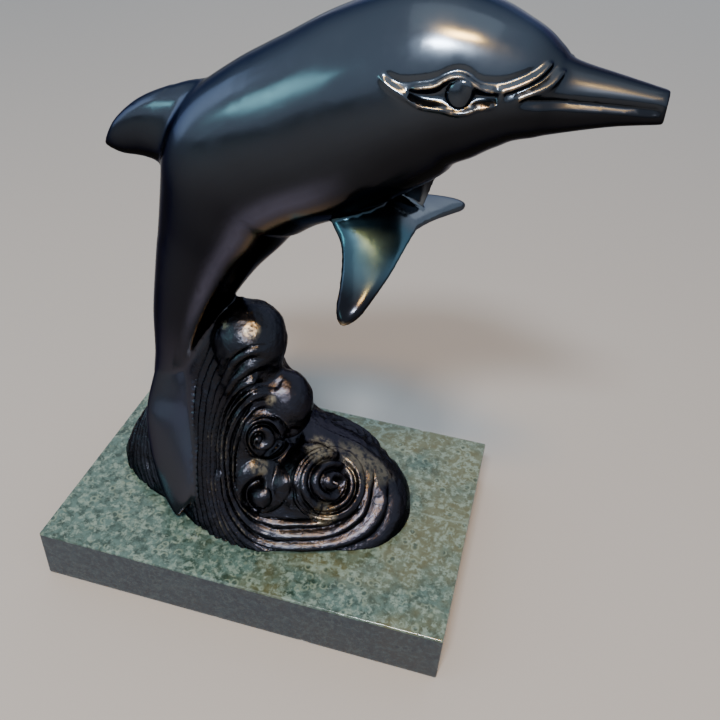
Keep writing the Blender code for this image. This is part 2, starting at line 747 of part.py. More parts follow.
def casting():
    """Dolphin and wave in one piece."""
    fins = (DORSAL_FIN, NEAR_FLIPPER, FAR_FLIPPER, FLIPPER_STRUT, NEAR_FLUKE, mirrored(NEAR_FLUKE))
    meshes = [loft(body_rings()), loft(wave_rings())]
    meshes += [loft(fin_rings(fin)) for fin in fins]
    meshes += [lump_mesh(lump) for lump in CRESTS]
    obj = fused("dolphin_and_wave_casting", meshes)
    melted(obj)
    carved(obj)
    thinned(obj, CASTING_TRIANGLES)
    cut_flat(obj)
    place = Matrix.Translation((0, 0, PLINTH_THICKNESS + SEAT_GAP))
    obj.data.transform(place @ Matrix.Scale(GRID, 4))
    obj.data.shade_smooth()
    return obj


def level(edge):
    """Whether an edge of the slab runs level."""
    return abs(edge.verts[0].co.z - edge.verts[1].co.z) < PLINTH_THICKNESS / 2


def plinth():
    """Slab of marble with rounded corners and a fine chamfer round its top and bottom."""
    made = bmesh.new()
    size = Matrix.Diagonal((PLINTH_LENGTH, PLINTH_WIDTH, PLINTH_THICKNESS, 1))
    place = Matrix.Translation((0, 0, PLINTH_THICKNESS / 2))
    bmesh.ops.create_cube(made, size=1, matrix=place @ size)
    upright = [edge for edge in made.edges if not level(edge)]
    bmesh.ops.bevel(
        made, geom=upright, offset=PLINTH_CORNER_RADIUS, segments=3, profile=0.5, affect="EDGES"
    )
    rims = [edge for edge in made.edges if level(edge)]
    bmesh.ops.bevel(made, geom=rims, offset=PLINTH_ARRIS, segments=1, profile=0.5, affect="EDGES")
    mesh = bpy.data.meshes.new("marble_plinth")
    made.to_mesh(mesh)
    made.free()
    obj = bpy.data.objects.new("marble_plinth", mesh)
    bpy.context.scene.collection.objects.link(obj)
    return obj


def finish(name, colour, roughness, metallic):
    """A material of one colour."""
    material = bpy.data.materials.new(name)
    material.use_nodes = True
    shader = material.node_tree.nodes["Principled BSDF"]
    shader.inputs["Base Color"].default_value = (*colour, 1)
    shader.inputs["Roughness"].default_value = roughness
    shader.inputs["Metallic"].default_value = metallic
    return material


def main():
    """Clears the scene and makes the two pieces."""
    for obj in list(bpy.data.objects):
        bpy.data.objects.remove(obj)
    parts = bpy.data.collections.new("bronze_dolphin_statue")
    bpy.context.scene.collection.children.link(parts)
    pieces = (
        (casting(), finish("dark_bronze", BRONZE_COLOUR, BRONZE_ROUGHNESS, 1.0)),
        (plinth(), finish("green_marble", MARBLE_COLOUR, MARBLE_ROUGHNESS, 0.0)),
    )
    for obj, material in pieces:
        obj.data.materials.append(material)
        bpy.context.scene.collection.objects.unlink(obj)
        parts.objects.link(obj)


if __name__ == "__main__":
    main()
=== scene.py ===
"""Looks of a bronze dolphin that leaps over a curling wave, on a slab of green marble.

The casting is lofted on the grid of its figure, 1 unit to about a millimetre, carved more finely
than its solid and then fitted to the box of that solid. The slab takes its size from its own solid.
"""

import logging
import math
from collections.abc import Iterator
from contextlib import contextmanager
from dataclasses import dataclass, replace
from enum import Enum

import bmesh
import bpy
import numpy as np
from mathutils import Matrix, Vector


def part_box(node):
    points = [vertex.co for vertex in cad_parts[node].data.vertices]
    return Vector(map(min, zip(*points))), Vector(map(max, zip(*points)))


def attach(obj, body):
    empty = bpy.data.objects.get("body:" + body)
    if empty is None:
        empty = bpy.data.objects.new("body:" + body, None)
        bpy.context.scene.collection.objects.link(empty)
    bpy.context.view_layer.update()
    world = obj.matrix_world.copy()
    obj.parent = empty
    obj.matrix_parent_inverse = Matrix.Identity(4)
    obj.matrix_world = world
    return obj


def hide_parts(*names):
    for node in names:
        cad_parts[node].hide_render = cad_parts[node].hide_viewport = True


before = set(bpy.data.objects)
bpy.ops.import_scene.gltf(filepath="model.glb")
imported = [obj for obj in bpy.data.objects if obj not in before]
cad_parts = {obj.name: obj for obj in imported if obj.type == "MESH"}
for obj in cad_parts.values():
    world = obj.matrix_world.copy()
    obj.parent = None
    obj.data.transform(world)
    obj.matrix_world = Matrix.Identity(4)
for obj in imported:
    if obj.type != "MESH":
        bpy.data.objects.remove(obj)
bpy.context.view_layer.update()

Line = tuple[tuple[float, ...], ...]
Pair = tuple[float, float]
Triple = tuple[float, float, float]
Colour = Triple
Array = np.ndarray
Mesh = bpy.types.Mesh
Object = bpy.types.Object
Material = bpy.types.Material
Socket = bpy.types.NodeSocket

BODY = "root"
CASTING_NODE = "dolphin_and_wave_casting"
SLAB_NODE = "marble_plinth"
MICRON = 1e-6
MM_PER_M = 1000
SMOOTHING = 0.5
HALF = 0.5
LINE_STEPS = 40
LINE_END_SHARE = 0.09
FOLD_REACH = 3.0
BOSS_POWER = 0.5
HOLLOW_POWER = 1.5
CARVED = ("rise", "turn", "rib_depth", "strand_depth")
SOCKET_KINDS = {float: "NodeSocketFloat", tuple: "NodeSocketVector"}

report = logging.getLogger("bronze dolphin")


class Detail(Enum):
    """How finely the casting is worked: cell of its skin, cuts of the wave's faces, triangles kept."""

    DRAFT = (0.9, 0, 90_000)
    FULL = (0.6, 1, 196_000)


class Hand(Enum):
    """The way in which a curl winds inwards."""

    CLOCKWISE = -1
    ANTICLOCKWISE = 1


def unit(vector: Array) -> Array:
    """The vector at length 1."""
    return vector / np.linalg.norm(vector)


def power(value: Array, exponent: float) -> Array:
    """Signed power, for superellipses."""
    return np.sign(value) * np.abs(value) ** exponent


def superellipse(angles: Array, fullness: float) -> tuple[Array, Array]:
    """How far a superellipse of radius 1 reaches at each angle: along angle 0, and across it."""
    return power(np.cos(angles), 2 / fullness), power(np.sin(angles), 2 / fullness)


def fade(value: Array, start: float, end: float) -> Array:
    """Eased step.

    Args:
        value: What is measured.
        start: Where the step is still 0.
        end: Where it has reached 1.

    Returns:
        The step at each value.
    """
    share = np.clip((value - start) / (end - start), 0, 1)
    return share * share * (3 - 2 * share)


def smooth_line(points: Line, steps: int = 6) -> Array:
    """Catmull-Rom curve through points.

    Args:
        points: The points, in as many dimensions as they have.
        steps: Steps between one point and the next.

    Returns:
        The points of the curve.
    """
    rows = np.asarray(points, float)
    ends = np.vstack([2 * rows[0] - rows[1], rows, 2 * rows[-1] - rows[-2]])
    found = []
    for before, start, end, after in zip(ends, ends[1:], ends[2:], ends[3:]):
        for t in np.arange(steps) / steps:
            bend = 2 * before - 5 * start + 4 * end - after
            twist = 3 * start - before - 3 * end + after
            found.append((2 * start + (end - before) * t + bend * t**2 + twist * t**3) / 2)
    return np.array(found + [rows[-1]])


def even_line(points: Line, count: int) -> Array:
    """The smooth line through points, spread evenly.

    Args:
        points: The points that it passes.
        count: How many points it gets.

    Returns:
        The points of the line.
    """
    line = smooth_line(points)
    run = np.concatenate([[0], np.cumsum(np.linalg.norm(np.diff(line, axis=0), axis=1))])
    wanted = np.linspace(0, run[-1], count)
    return np.stack([np.interp(wanted, run, column) for column in line.T], axis=-1)


@dataclass(frozen=True)
class Fin:
    """A blade between two edges, each given from root to tip, with its thickness at either end."""

    leading: Line
    trailing: Line
    root_thickness: float
    tip_thickness: float

    def mirrored(self) -> "Fin":
        """The same fin on the dolphin's other side.

        Returns:
            The mirrored fin.
        """
        edges = (self.leading, self.trailing)
        leading, trailing = (tuple((forward, -aside, up) for forward, aside, up in edge) for edge in edges)
        return replace(self, leading=leading, trailing=trailing)


@dataclass(frozen=True)
class Lump:
    """A rounded mass of the wave."""

    centre: Triple
    radii: Triple


@dataclass(frozen=True)
class Round:
    """A round boss of the relief, or a hollow where the rise is negative."""

    centre: Pair
    radius: float
    rise: float

    def dome(self, flat: Array) -> Array:
        """Height of the form at flat points: a boss is half a ball, and a hollow runs out softly."""
        away = np.linalg.norm(flat - np.array(self.centre), axis=1) / self.radius
        return self.rise * np.clip(1 - away**2, 0, 1) ** (BOSS_POWER if self.rise > 0 else HOLLOW_POWER)


@dataclass(frozen=True)
class Fold:
    """A crease where the rise is negative, or a raised lip, along a line."""

    line: Line
    rise: float
    width: float

    def height(self, flat: Array) -> Array:
        """Height of the fold at flat points, running out at both ends.

        Args:
            flat: The points.

        Returns:
            The height at each point.
        """
        line = even_line(self.line, LINE_STEPS)
        reach = FOLD_REACH * self.width
        near = np.all((flat > line.min(axis=0) - reach) & (flat < line.max(axis=0) + reach), axis=1)
        distance, along = from_line(flat[near], line)
        height = np.zeros(len(flat))
        height[near] = self.rise * np.exp(-((distance / self.width) ** 2)) * open_ended(along)
        return height


@dataclass
class Carving:
    """What the relief asks of each point: a rise, its place across the ribs, and their depths."""

    rise: Array
    turn: Array
    rib_depth: Array
    strand_depth: Array

    @classmethod
    def blank(cls, count: int) -> "Carving":
        """A carving that changes nothing."""
        return cls(*(np.zeros(count) for _ in CARVED))

    def cover(self, turn: Array, rib: Array, strand: Array, share: Array) -> None:
        """Lays other ribs over these, which run out where the two meet.

        Args:
            turn: Place across the new ribs.
            rib: Depth of the new ribs.
            strand: Depth of their strands.
            share: 1 where the new ribs hold, 0 where the old ones stay.
        """
        edge = np.abs(2 * share - 1)
        new = share > HALF
        self.turn = np.where(new, turn, self.turn)
        self.rib_depth = np.where(new, rib, self.rib_depth) * edge
        self.strand_depth = np.where(new, strand, self.strand_depth) * edge

    def put(self, places: Array, other: "Carving") -> None:
        """Sets what another carving asks at some of the points."""
        for name in CARVED:
            getattr(self, name)[places] = getattr(other, name)

    def scaled(self, share: Array) -> "Carving":
        """The same carving, at a share of its depth."""
        return Carving(self.rise * share, self.turn, self.rib_depth * share, self.strand_depth * share)


def from_line(flat: Array, line: Array) -> tuple[Array, Array]:
    """Distance of flat points from a line.

    Args:
        flat: The points.
        line: The line's points.

    Returns:
        The distance, positive to the left of the line, and how far along the nearest place is.
    """
    x, y = np.ascontiguousarray(flat.T, np.float32)
    best = np.full(len(flat), np.inf, np.float32)
    along, side = np.zeros_like(best), np.ones_like(best)
    for number, (start, end) in enumerate(zip(line, line[1:])):
        run_x, run_y = (float(step) for step in end - start)
        off_x, off_y = x - np.float32(start[0]), y - np.float32(start[1])
        t = np.clip((off_x * run_x + off_y * run_y) / (run_x**2 + run_y**2), 0, 1)
        distance = (off_x - t * run_x) ** 2 + (off_y - t * run_y) ** 2
        nearer = np.flatnonzero(distance < best)
        best[nearer] = distance[nearer]
        along[nearer] = (number + t[nearer]) / (len(line) - 1)
        side[nearer] = np.sign(run_x * off_y[nearer] - run_y * off_x[nearer])
    return np.sqrt(best) * side, along


def open_ended(along: Array) -> Array:
    """1 along a line, running out at both of its ends."""
    return fade(along, 0, LINE_END_SHARE) * fade(1 - along, 0, LINE_END_SHARE)


@dataclass(frozen=True)
class RibBand:
    """Ribs that run along a set of lines, from the outermost line inwards.

    A whole number in turns is the crest of a rib, and a half is a groove.
    """

    lines: tuple[Line, ...]
    turns: tuple[float, ...]
    rib_depth: float
    strand_depth: float

    def lay(self, carving: Carving, flat: Array) -> None:
        """Sets the place across the ribs, and their depths, for the points of the band.

        Args:
            carving: What is asked of each point so far.
            flat: Points of the relief's plane.
        """
        found = [from_line(flat, even_line(line, LINE_STEPS)) for line in self.lines]
        pairs = zip(found, found[1:], self.turns, self.turns[1:])
        for (outer, along), (inner, _), first, last in pairs:
            inside = (outer >= 0) & (inner < 0)
            share = outer / np.where(inside, outer - inner, 1)
            ends = open_ended(along)
            carving.turn = np.where(inside, first + (last - first) * share, carving.turn)
            carving.rib_depth = np.where(inside, self.rib_depth * ends, carving.rib_depth)
            carving.strand_depth = np.where(inside, self.strand_depth * ends, carving.strand_depth)


@dataclass(frozen=True)
class Curl:
    """A rolled end of the wave, whose turns wind inwards, with finer strands outside its last turn."""

    centre: Pair
    heart: Pair
    radius: float
    rolled: float
    pitch: float
    rise: float
    hand: Hand
    rib_depth: float = 2.2
    strand_depth: float = 0.5
    rim: float = 1.0

    def wound(self, offset: Array) -> Array:
        """Turns at each offset from the centre, along circles that shrink from the rim to the heart.

        Args:
            offset: The offsets.

        Returns:
            The turns, where a whole number is the crest of a rib.
        """
        heart = np.array(self.heart)
        from_heart = offset - heart
        square = heart @ heart - self.radius**2
        linear = 2 * from_heart @ heart
        root = np.sqrt(linear**2 - 4 * square * np.sum(from_heart**2, axis=1))
        share = -(linear + root) / (2 * square)
        place = from_heart + np.outer(share, heart)
        angle = np.arctan2(place[:, 1], place[:, 0])
        return share * self.radius / self.pitch + self.hand.value * angle / (2 * math.pi)

    def lay(self, carving: Carving, flat: Array) -> None:
        """Rolls the curl over what the carving holds so far.

        Args:
            carving: What is asked of each point so far.
            flat: Points of the relief's plane.
        """
        offset = flat - np.array(self.centre)
        away = np.linalg.norm(offset, axis=1)
        turn = self.wound(offset)
        share = fade(self.radius - away, 0, self.rim)
        rolled = fade(self.rolled + self.rim - away, 0, self.rim)
        strands = (1 - rolled) * fade(-offset[:, 0], -self.rolled / 2, self.rolled / 4)
        dome = self.rise * np.sqrt(np.clip(1 - (away / self.radius) ** 2, 0, 1))
        carving.cover(turn, self.rib_depth * rolled, self.strand_depth * strands, share)
        carving.rise = carving.rise * (1 - share) + dome * share


@dataclass(frozen=True)
class MiddlePlane:
    """The dolphin's own frame, (forward, sideways, up), turned a little about the tail."""

    yaw: float = math.radians(6.0)
    axis: Pair = (-42.0, 1.0)

    def outwards(self, own: Array) -> Array:
        """Points of the dolphin's own frame as (x, y, z).

        Args:
            own: Points in the dolphin's own frame.

        Returns:
            The points in the casting's frame.
        """
        own = np.asarray(own, float)
        forward = own[..., 0] - self.axis[0]
        x = self.axis[0] + forward * math.cos(self.yaw) + own[..., 1] * math.sin(self.yaw)
        y = self.axis[1] - forward * math.sin(self.yaw) + own[..., 1] * math.cos(self.yaw)
        return np.stack([x, y, own[..., 2]], axis=-1)

    def inwards(self, points: Array) -> Array:
        """(x, y, z) as points of the dolphin's own frame.

        Args:
            points: The points in the casting's frame.

        Returns:
            The points as (forward, sideways, up).
        """
        x, y = points[..., 0] - self.axis[0], points[..., 1] - self.axis[1]
        forward = self.axis[0] + x * math.cos(self.yaw) - y * math.sin(self.yaw)
        aside = x * math.sin(self.yaw) + y * math.cos(self.yaw)
        return np.stack([forward, aside, points[..., 2]], axis=-1)


def loft(rings: list[Array]) -> Mesh:
    """Closed mesh through rings of equal length.

    Args:
        rings: The rings, in order.

    Returns:
        The mesh, with a flat cap at each end.
    """
    count = len(rings[0])
    faces = [tuple(reversed(range(count)))]
    for ring in range(len(rings) - 1):
        for side in range(count):
            here, there = ring * count + side, ring * count + (side + 1) % count
            faces.append((here, there, there + count, here + count))
    faces.append(tuple(range(len(rings) * count - count, len(rings) * count)))
    mesh = bpy.data.meshes.new("loft")
    mesh.from_pydata([tuple(point) for point in np.concatenate(rings)], [], faces)
    return mesh


@dataclass(frozen=True)
class DolphinForm:
    """The dolphin: its body, its fins and flukes, and the carving of its head."""

    plane: MiddlePlane = MiddlePlane()
    sections: Line = (
        (101.2, 170.8, 3.8, 4.0), (89.7, 170.4, 5.9, 6.2), (78.6, 169.6, 8.5, 9.0),
        (73.6, 169.8, 11.0, 11.8), (66.0, 170.6, 14.8, 15.0), (56.4, 170.2, 19.2, 18.3),
        (44.7, 167.8, 22.6, 21.0), (31.3, 160.3, 24.7, 22.0), (17.4, 151.4, 25.3, 21.8),
        (2.8, 143.0, 25.0, 21.1), (-8.9, 133.2, 24.8, 19.7), (-15.8, 119.9, 21.3, 17.2),
        (-22.0, 106.6, 17.5, 14.2), (-28.3, 91.0, 14.2, 11.7), (-34.1, 73.6, 11.4, 9.4),
        (-37.6, 56.1, 9.5, 7.6), (-40.6, 40.0, 8.8, 6.4), (-41.0, 26.0, 6.0, 5.0),
    )
    section_power: float = 2.15
    sides: int = 64
    belly_edge_angle: float = math.radians(128.0)
    belly_edge_spread: float = math.radians(14.0)
    belly_edge_rise: float = 0.085
    belly_edge_from: float = 34.0
    belly_edge_ramp: float = 20.0
    fin_power: float = 2.3
    fin_steps: int = 28
    fin_sides: int = 28
    tip_rounding: float = 0.14
    tip_share_left: float = 0.1
    dorsal: Fin = Fin(
        (
            (2, 0, 148), (-9.5, 0, 156.5), (-22.4, 0, 156.8), (-33, 0, 153),
            (-43, 0, 148), (-51.5, 0, 141), (-58.2, 0, 132.8),
        ),
        (
            (-18, 0, 112), (-28, 0, 121.5), (-35.5, 0, 128.2),
            (-41.5, 0, 129.9), (-49.5, 0, 129.3), (-56.4, 0, 129.1),
        ),
        25.0,
        4.0,
    )
    near_flipper: Fin = Fin(
        ((45.2, 0, 125.7), (45, -8, 124.2), (44.1, -17, 120.4), (42.4, -25, 116.7), (39.5, -33, 111.2)),
        ((24, 0, 134), (22.7, -10, 129.5), (28, -15, 124), (31.4, -23, 118), (33.6, -33, 110)),
        5.6,
        3.6,
    )
    far_flipper: Fin = Fin(
        ((45.2, 0, 125.7), (46.4, 7, 124.8), (48, 14, 123.7), (50.1, 24, 121.3), (52.4, 33, 119.6)),
        ((24, 0, 134), (27, 9, 131), (36, 17, 127.5), (43.6, 25, 124.6), (48.8, 33, 120.4)),
        5.6,
        3.6,
    )
    strut: Fin = Fin(
        ((48, 9, 142.5), (45.4, 9.5, 134), (43.4, 9.5, 126.5)),
        ((28, 9, 142), (28, 9.5, 134), (28, 9.5, 128)),
        3.0,
        3.0,
    )
    fluke: Fin = Fin(
        (
            (-46, -1, 52), (-48.6, -6, 38), (-47, -12, 31), (-43.5, -17, 21), (-38.2, -22, 12),
            (-30, -27.5, 1.5),
        ),
        (
            (-27.5, -1, 58), (-23.8, -7, 50), (-24, -13, 37), (-22.8, -19.5, 25), (-22, -25, 12),
            (-25, -28.5, 1.5),
        ),
        9.0,
        3.4,
    )
    lower_lid: Fold = Fold(
        (
            (37.3, 173.7), (40.7, 171.4), (44.7, 169.6), (48.4, 168.1), (52.9, 167.8),
            (56.2, 167.2), (58.8, 167.8), (61.0, 168.9), (65.5, 169.7),
        ),
        0.9,
        0.9,
    )
    upper_lid: Fold = Fold(
        (
            (45.2, 171.5), (49.4, 172.3), (51.5, 173.1), (52.9, 174.3), (55.2, 175.2),
            (57.6, 174.8), (59.3, 173.8), (61.1, 173.0), (64.7, 172.4),
        ),
        0.9,
        0.9,
    )
    lid_crease: Fold = Fold(
        (
            (37.7, 174.2), (42.2, 172.6), (46.8, 173.2), (49.5, 173.9), (51.8, 174.8), (53.7, 176.0),
            (55.8, 176.6), (57.7, 176.1), (59.1, 175.1), (61.4, 174.4), (65.8, 174.8), (70.5, 177.0),
            (73.4, 179.0),
        ),
        -0.7,
        1.0,
    )
    mouth_strands: tuple[Fold, ...] = (
        Fold(
            ((64.4, 172.6), (66.4, 173.2), (68.6, 174.1), (70.9, 175.3), (72.8, 176.7), (74.7, 179.0)),
            0.9,
            0.9,
        ),
        Fold(
            ((65.7, 171.6), (67.9, 172.4), (70.2, 173.6), (72.4, 174.9), (74.2, 176.4), (75.8, 179.0)),
            -0.8,
            0.8,
        ),
        Fold(
            ((68.3, 171.0), (70.1, 171.8), (72.0, 172.8), (74.1, 173.7), (75.8, 175.0), (77.2, 177.6)),
            0.9,
            0.9,
        ),
    )
    mouth: Fold = Fold(
        ((68.6, 170.6), (78.1, 170.6), (86.8, 170.7), (97.7, 170.8), (101.6, 170.8)), -1.2, 1.15
    )
    jaw_edge: Fold = Fold(((72.0, 168.2), (76.0, 169.0), (84.0, 169.3), (95.8, 169.7)), 0.22, 0.8)
    fin_folds: tuple[Fold, ...] = (
        Fold(((-24.3, 154.9), (-29.5, 153.3), (-35.2, 151.6), (-40.2, 149.4), (-46.5, 145.4)), -0.2, 0.9),
    )
    fin_root: Pair = (0.9, 1.24)
    fin_root_angle: float = math.pi / 3
    fin_root_front: float = 0.0
    fin_root_reach: float = 2.6
    fin_root_height: float = 105.0
    eye: Round = Round((56.5, 171.4), 3.2, 2.4)
    eye_room: Line = ((35.0, 165.0), (80.0, 181.0))
    socket_depth: float = 1.6
    socket_room: float = 3.0
    carved_from: float = 125.0
    flank_facing: Pair = (0.25, 0.6)
    flank_offset: Pair = (1.0, 2.5)
    # Where the painted light and shade lie on the body.
    on_skin: Pair = (1.3, 1.18)
    patina_from: Pair = (60.0, 90.0)
    under_edge: Pair = (0.02, 0.16)
    facing_down: Pair = (-0.3, 0.35)
    shaded_from: Pair = (50.0, 80.0)
    ridge_spread: float = 0.06
    ridge_from: Pair = (98.0, 125.0)
    band_offset: float = 0.18
    band_spread: float = 0.12
    blade_reach: Pair = (0.98, 1.12)
    blade_from: float = 15.0
    blade_below: Pair = (134.0, 130.0)
    blade_near_side: Pair = (-8.0, -14.0)
    blade_tip_below: Pair = (124.0, 116.0)
    flipper_from: Pair = (116.0, 124.0)
    beak_from: Pair = (66.0, 76.0)

    def spine(self, steps: int = 6) -> Iterator[tuple[Array, Array]]:
        """Each section of the smooth body, with the way that the body runs there.

        Args:
            steps: Steps between one section and the next.

        Returns:
            The section and its direction, one section after the other.
        """
        line = smooth_line(self.sections, steps)
        for row, section in enumerate(line):
            before, after = line[max(row - 1, 0)], line[min(row + 1, len(line) - 1)]
            yield section, unit(after[:2] - before[:2])

    def body_rings(self) -> list[Array]:
        """Rings of the body, with the edge that divides flank and belly.

        Returns:
            The rings, from the beak to the stock of the tail.
        """
        angles = np.linspace(0, 2 * math.pi, self.sides, endpoint=False)
        from_back = math.pi - np.abs(angles - math.pi)
        edge = np.exp(-np.abs(from_back - self.belly_edge_angle) / self.belly_edge_spread)
        high, wide = superellipse(angles, self.section_power)
        rings = []
        for (forward, up, depth, width), along in self.spine():
            strength = np.clip((self.belly_edge_from - forward) / self.belly_edge_ramp, 0, 1)
            swell = 1 + self.belly_edge_rise * strength * edge
            out, aside = depth * high * swell, width * wide * swell
            ring = np.stack([forward + along[1] * out, aside, up - along[0] * out], axis=-1)
            rings.append(self.plane.outwards(ring))
        return rings

    def fin_frames(self, fin: Fin) -> list[tuple[Array, Array, Array, float]]:
        """Middle, half chord, direction across the blade and half thickness, from root to tip.

        Args:
            fin: The fin.

        Returns:
            The four of them for each step along the fin.
        """
        leading = even_line(fin.leading, self.fin_steps)
        trailing = even_line(fin.trailing, self.fin_steps)
        middle = (leading + trailing) / 2
        step = np.gradient(middle, axis=0)
        frames = []
        for row, t in enumerate(np.linspace(0, 1, self.fin_steps)):
            chord = (leading[row] - trailing[row]) / 2
            across = unit(np.cross(step[row], chord))
            into_tip = max(0.0, (t - 1 + self.tip_rounding) / self.tip_rounding)
            rounding = math.sqrt(1 - into_tip**2 * (1 - self.tip_share_left))
            thickness = fin.root_thickness + (fin.tip_thickness - fin.root_thickness) * t
            frames.append((middle[row], chord * rounding, across, thickness / 2 * rounding))
        return frames

    def fin_rings(self, fin: Fin) -> list[Array]:
        """Rings of a fin: a blade with round edges.

        Args:
            fin: The fin.

        Returns:
            The rings, from root to tip.
        """
        angles = np.linspace(0, 2 * math.pi, self.fin_sides, endpoint=False)
        wide, thick = superellipse(angles, self.fin_power)
        rings = []
        for middle, chord, across, half in self.fin_frames(fin):
            ring = middle + np.outer(wide, chord) + np.outer(thick, across * half)
            rings.append(self.plane.outwards(ring))
        return rings

    def meshes(self) -> list[Mesh]:
        """The body and all its fins, as closed meshes.

        Returns:
            The meshes, the body first.
        """
        fins = (self.dorsal, self.near_flipper, self.far_flipper, self.strut)
        fins += (self.fluke, self.fluke.mirrored())
        return [loft(self.body_rings())] + [loft(self.fin_rings(fin)) for fin in fins]

    def around(self, points: Array) -> tuple[Array, Array, Array]:
        """Where points lie on the body.

        Args:
            points: Points of the skin.

        Returns:
            Their angle from the back, their distance from the spine in body radii, and how far forward
            their section is.
        """
        own = self.plane.inwards(points)
        nearest, angle, reach = (np.full(len(own), np.inf) for _ in range(3))
        for (forward, up, depth, width), along in self.spine(3):
            x, z = own[:, 0] - forward, own[:, 2] - up
            nearer = np.flatnonzero(x**2 + z**2 < nearest)
            nearest[nearer] = x[nearer] ** 2 + z[nearer] ** 2
            out = (along[1] * x[nearer] - along[0] * z[nearer]) / depth
            aside = np.abs(own[nearer, 1]) / width
            angle[nearer] = np.arctan2(aside, out)
            reach[nearer] = np.hypot(aside, out)
        return angle, reach, own[:, 0]

    def at_fin_root(self, points: Array) -> Array:
        """Whether points lie where the fin leaves the back.

        Args:
            points: Points of the skin.

        Returns:
            True for such points.
        """
        angle, reach, forward = self.around(points)
        near, far = self.fin_root
        at_edge = (reach > near) & (reach < far)
        return (angle < self.fin_root_angle) & at_edge & (forward < self.fin_root_front)

    def patina(self, points: Array, normals: Array) -> dict[str, Array]:
        """Shares of the places of painted light and shade, for points of the skin.

        Args:
            points: Points of the skin.
            normals: Their normals.

        Returns:
            The painted shade of the underside and of the flippers' low tips, the painted highlight on the
            belly ridge above it, the painted lit band above that, the painted teal reflection on the near
            flipper's blade, the paler painted sheen of the far flipper, and the dull beak, which also gets
            painted shade.
        """
        angle, reach, forward = self.around(points)
        height = points[:, 2]
        on_body = fade(reach, *self.on_skin) * fade(height, *self.patina_from)
        bare = on_body * fade(self.belly_edge_from - forward, 0, self.belly_edge_ramp)
        edge = angle - self.belly_edge_angle
        blade = fade(reach, *self.blade_reach) * (forward > self.blade_from) * fade(height, *self.blade_below)
        near_blade = blade * fade(points[:, 1], *self.blade_near_side)
        # Painted shade: the low tips of the flippers, and the skin that faces down, are darkened.
        tip = blade * fade(height, *self.blade_tip_below)
        facing_down = fade(-normals[:, 2], *self.facing_down) * fade(height, *self.shaded_from)
        under = np.maximum(fade(edge, *self.under_edge) * on_body, facing_down * (1 - blade))
        return {
            "under": np.maximum(under, tip),
            # Painted highlight along the belly ridge.
            "ridge": np.exp(-((edge / self.ridge_spread) ** 2)) * bare * fade(height, *self.ridge_from),
            # Painted lit band above the belly ridge.
            "band": np.exp(-(((edge + self.band_offset) / self.band_spread) ** 2)) * bare,
            # Painted teal reflection on the near flipper.
            "flipper": near_blade * fade(height, *self.flipper_from),
            # Painted pale sheen on the far flipper.
            "pale_blade": np.maximum(blade - near_blade, 0),
            # The rough beak, which also gets painted shade.
            "dull": fade(forward, *self.beak_from),
        }

    def by_the_eye(self, points: Array) -> Array:
        """Whether points lie about the eye and the strands of the mouth.

        Args:
            points: Points of the skin.

        Returns:
            True for such points.
        """
        own = self.plane.inwards(points)
        (back, low), (front, high) = self.eye_room
        beside = (own[:, 0] > back) & (own[:, 0] < front) & (np.abs(own[:, 1]) > self.flank_offset[1])
        return beside & (own[:, 2] > low) & (own[:, 2] < high)

    def socket(self, flat: Array) -> Array:
        """Depth of the socket between the two lids, 1 at its deepest.

        Args:
            flat: Points of the flank, as (forward, up).

        Returns:
            The depth at each point.
        """
        lower = even_line(self.lower_lid.line, LINE_STEPS)
        upper = even_line(self.upper_lid.line, LINE_STEPS)
        floor = np.interp(flat[:, 0], lower[:, 0], lower[:, 1])
        roof = np.interp(flat[:, 0], upper[:, 0], upper[:, 1])
        inside = (flat[:, 1] > floor) & (flat[:, 1] < roof)
        inside &= (flat[:, 0] > upper[0, 0]) & (flat[:, 0] < upper[-1, 0])
        share = (flat[:, 1] - floor) / np.where(inside, roof - floor, 1)
        return np.where(inside, 1 - (2 * share - 1) ** 2, 0) * fade(roof - floor, 0, self.socket_room)

    def head_rise(self, points: Array, normals: Array) -> Array:
        """How far the skin of the head and fin is raised or sunk.

        Args:
            points: Points of the skin.
            normals: Their normals.

        Returns:
            The rise at each point.
        """
        rise = np.zeros(len(points))
        high = np.flatnonzero(points[:, 2] > self.carved_from)
        own = self.plane.inwards(points[high])
        flat = own[:, [0, 2]]
        turned = self.plane.inwards(points[high] + normals[high]) - own
        flank = fade(turned[:, 1] * np.sign(own[:, 1]), *self.flank_facing)
        flank *= fade(np.abs(own[:, 1]), *self.flank_offset)
        carved = self.eye.dome(flat) - self.socket_depth * self.socket(flat)
        lids = (self.lower_lid, self.upper_lid, self.lid_crease)
        for fold in (*lids, *self.mouth_strands, self.mouth, self.jaw_edge, *self.fin_folds):
            carved += fold.height(flat)
        rise[high] = carved * flank
        return rise


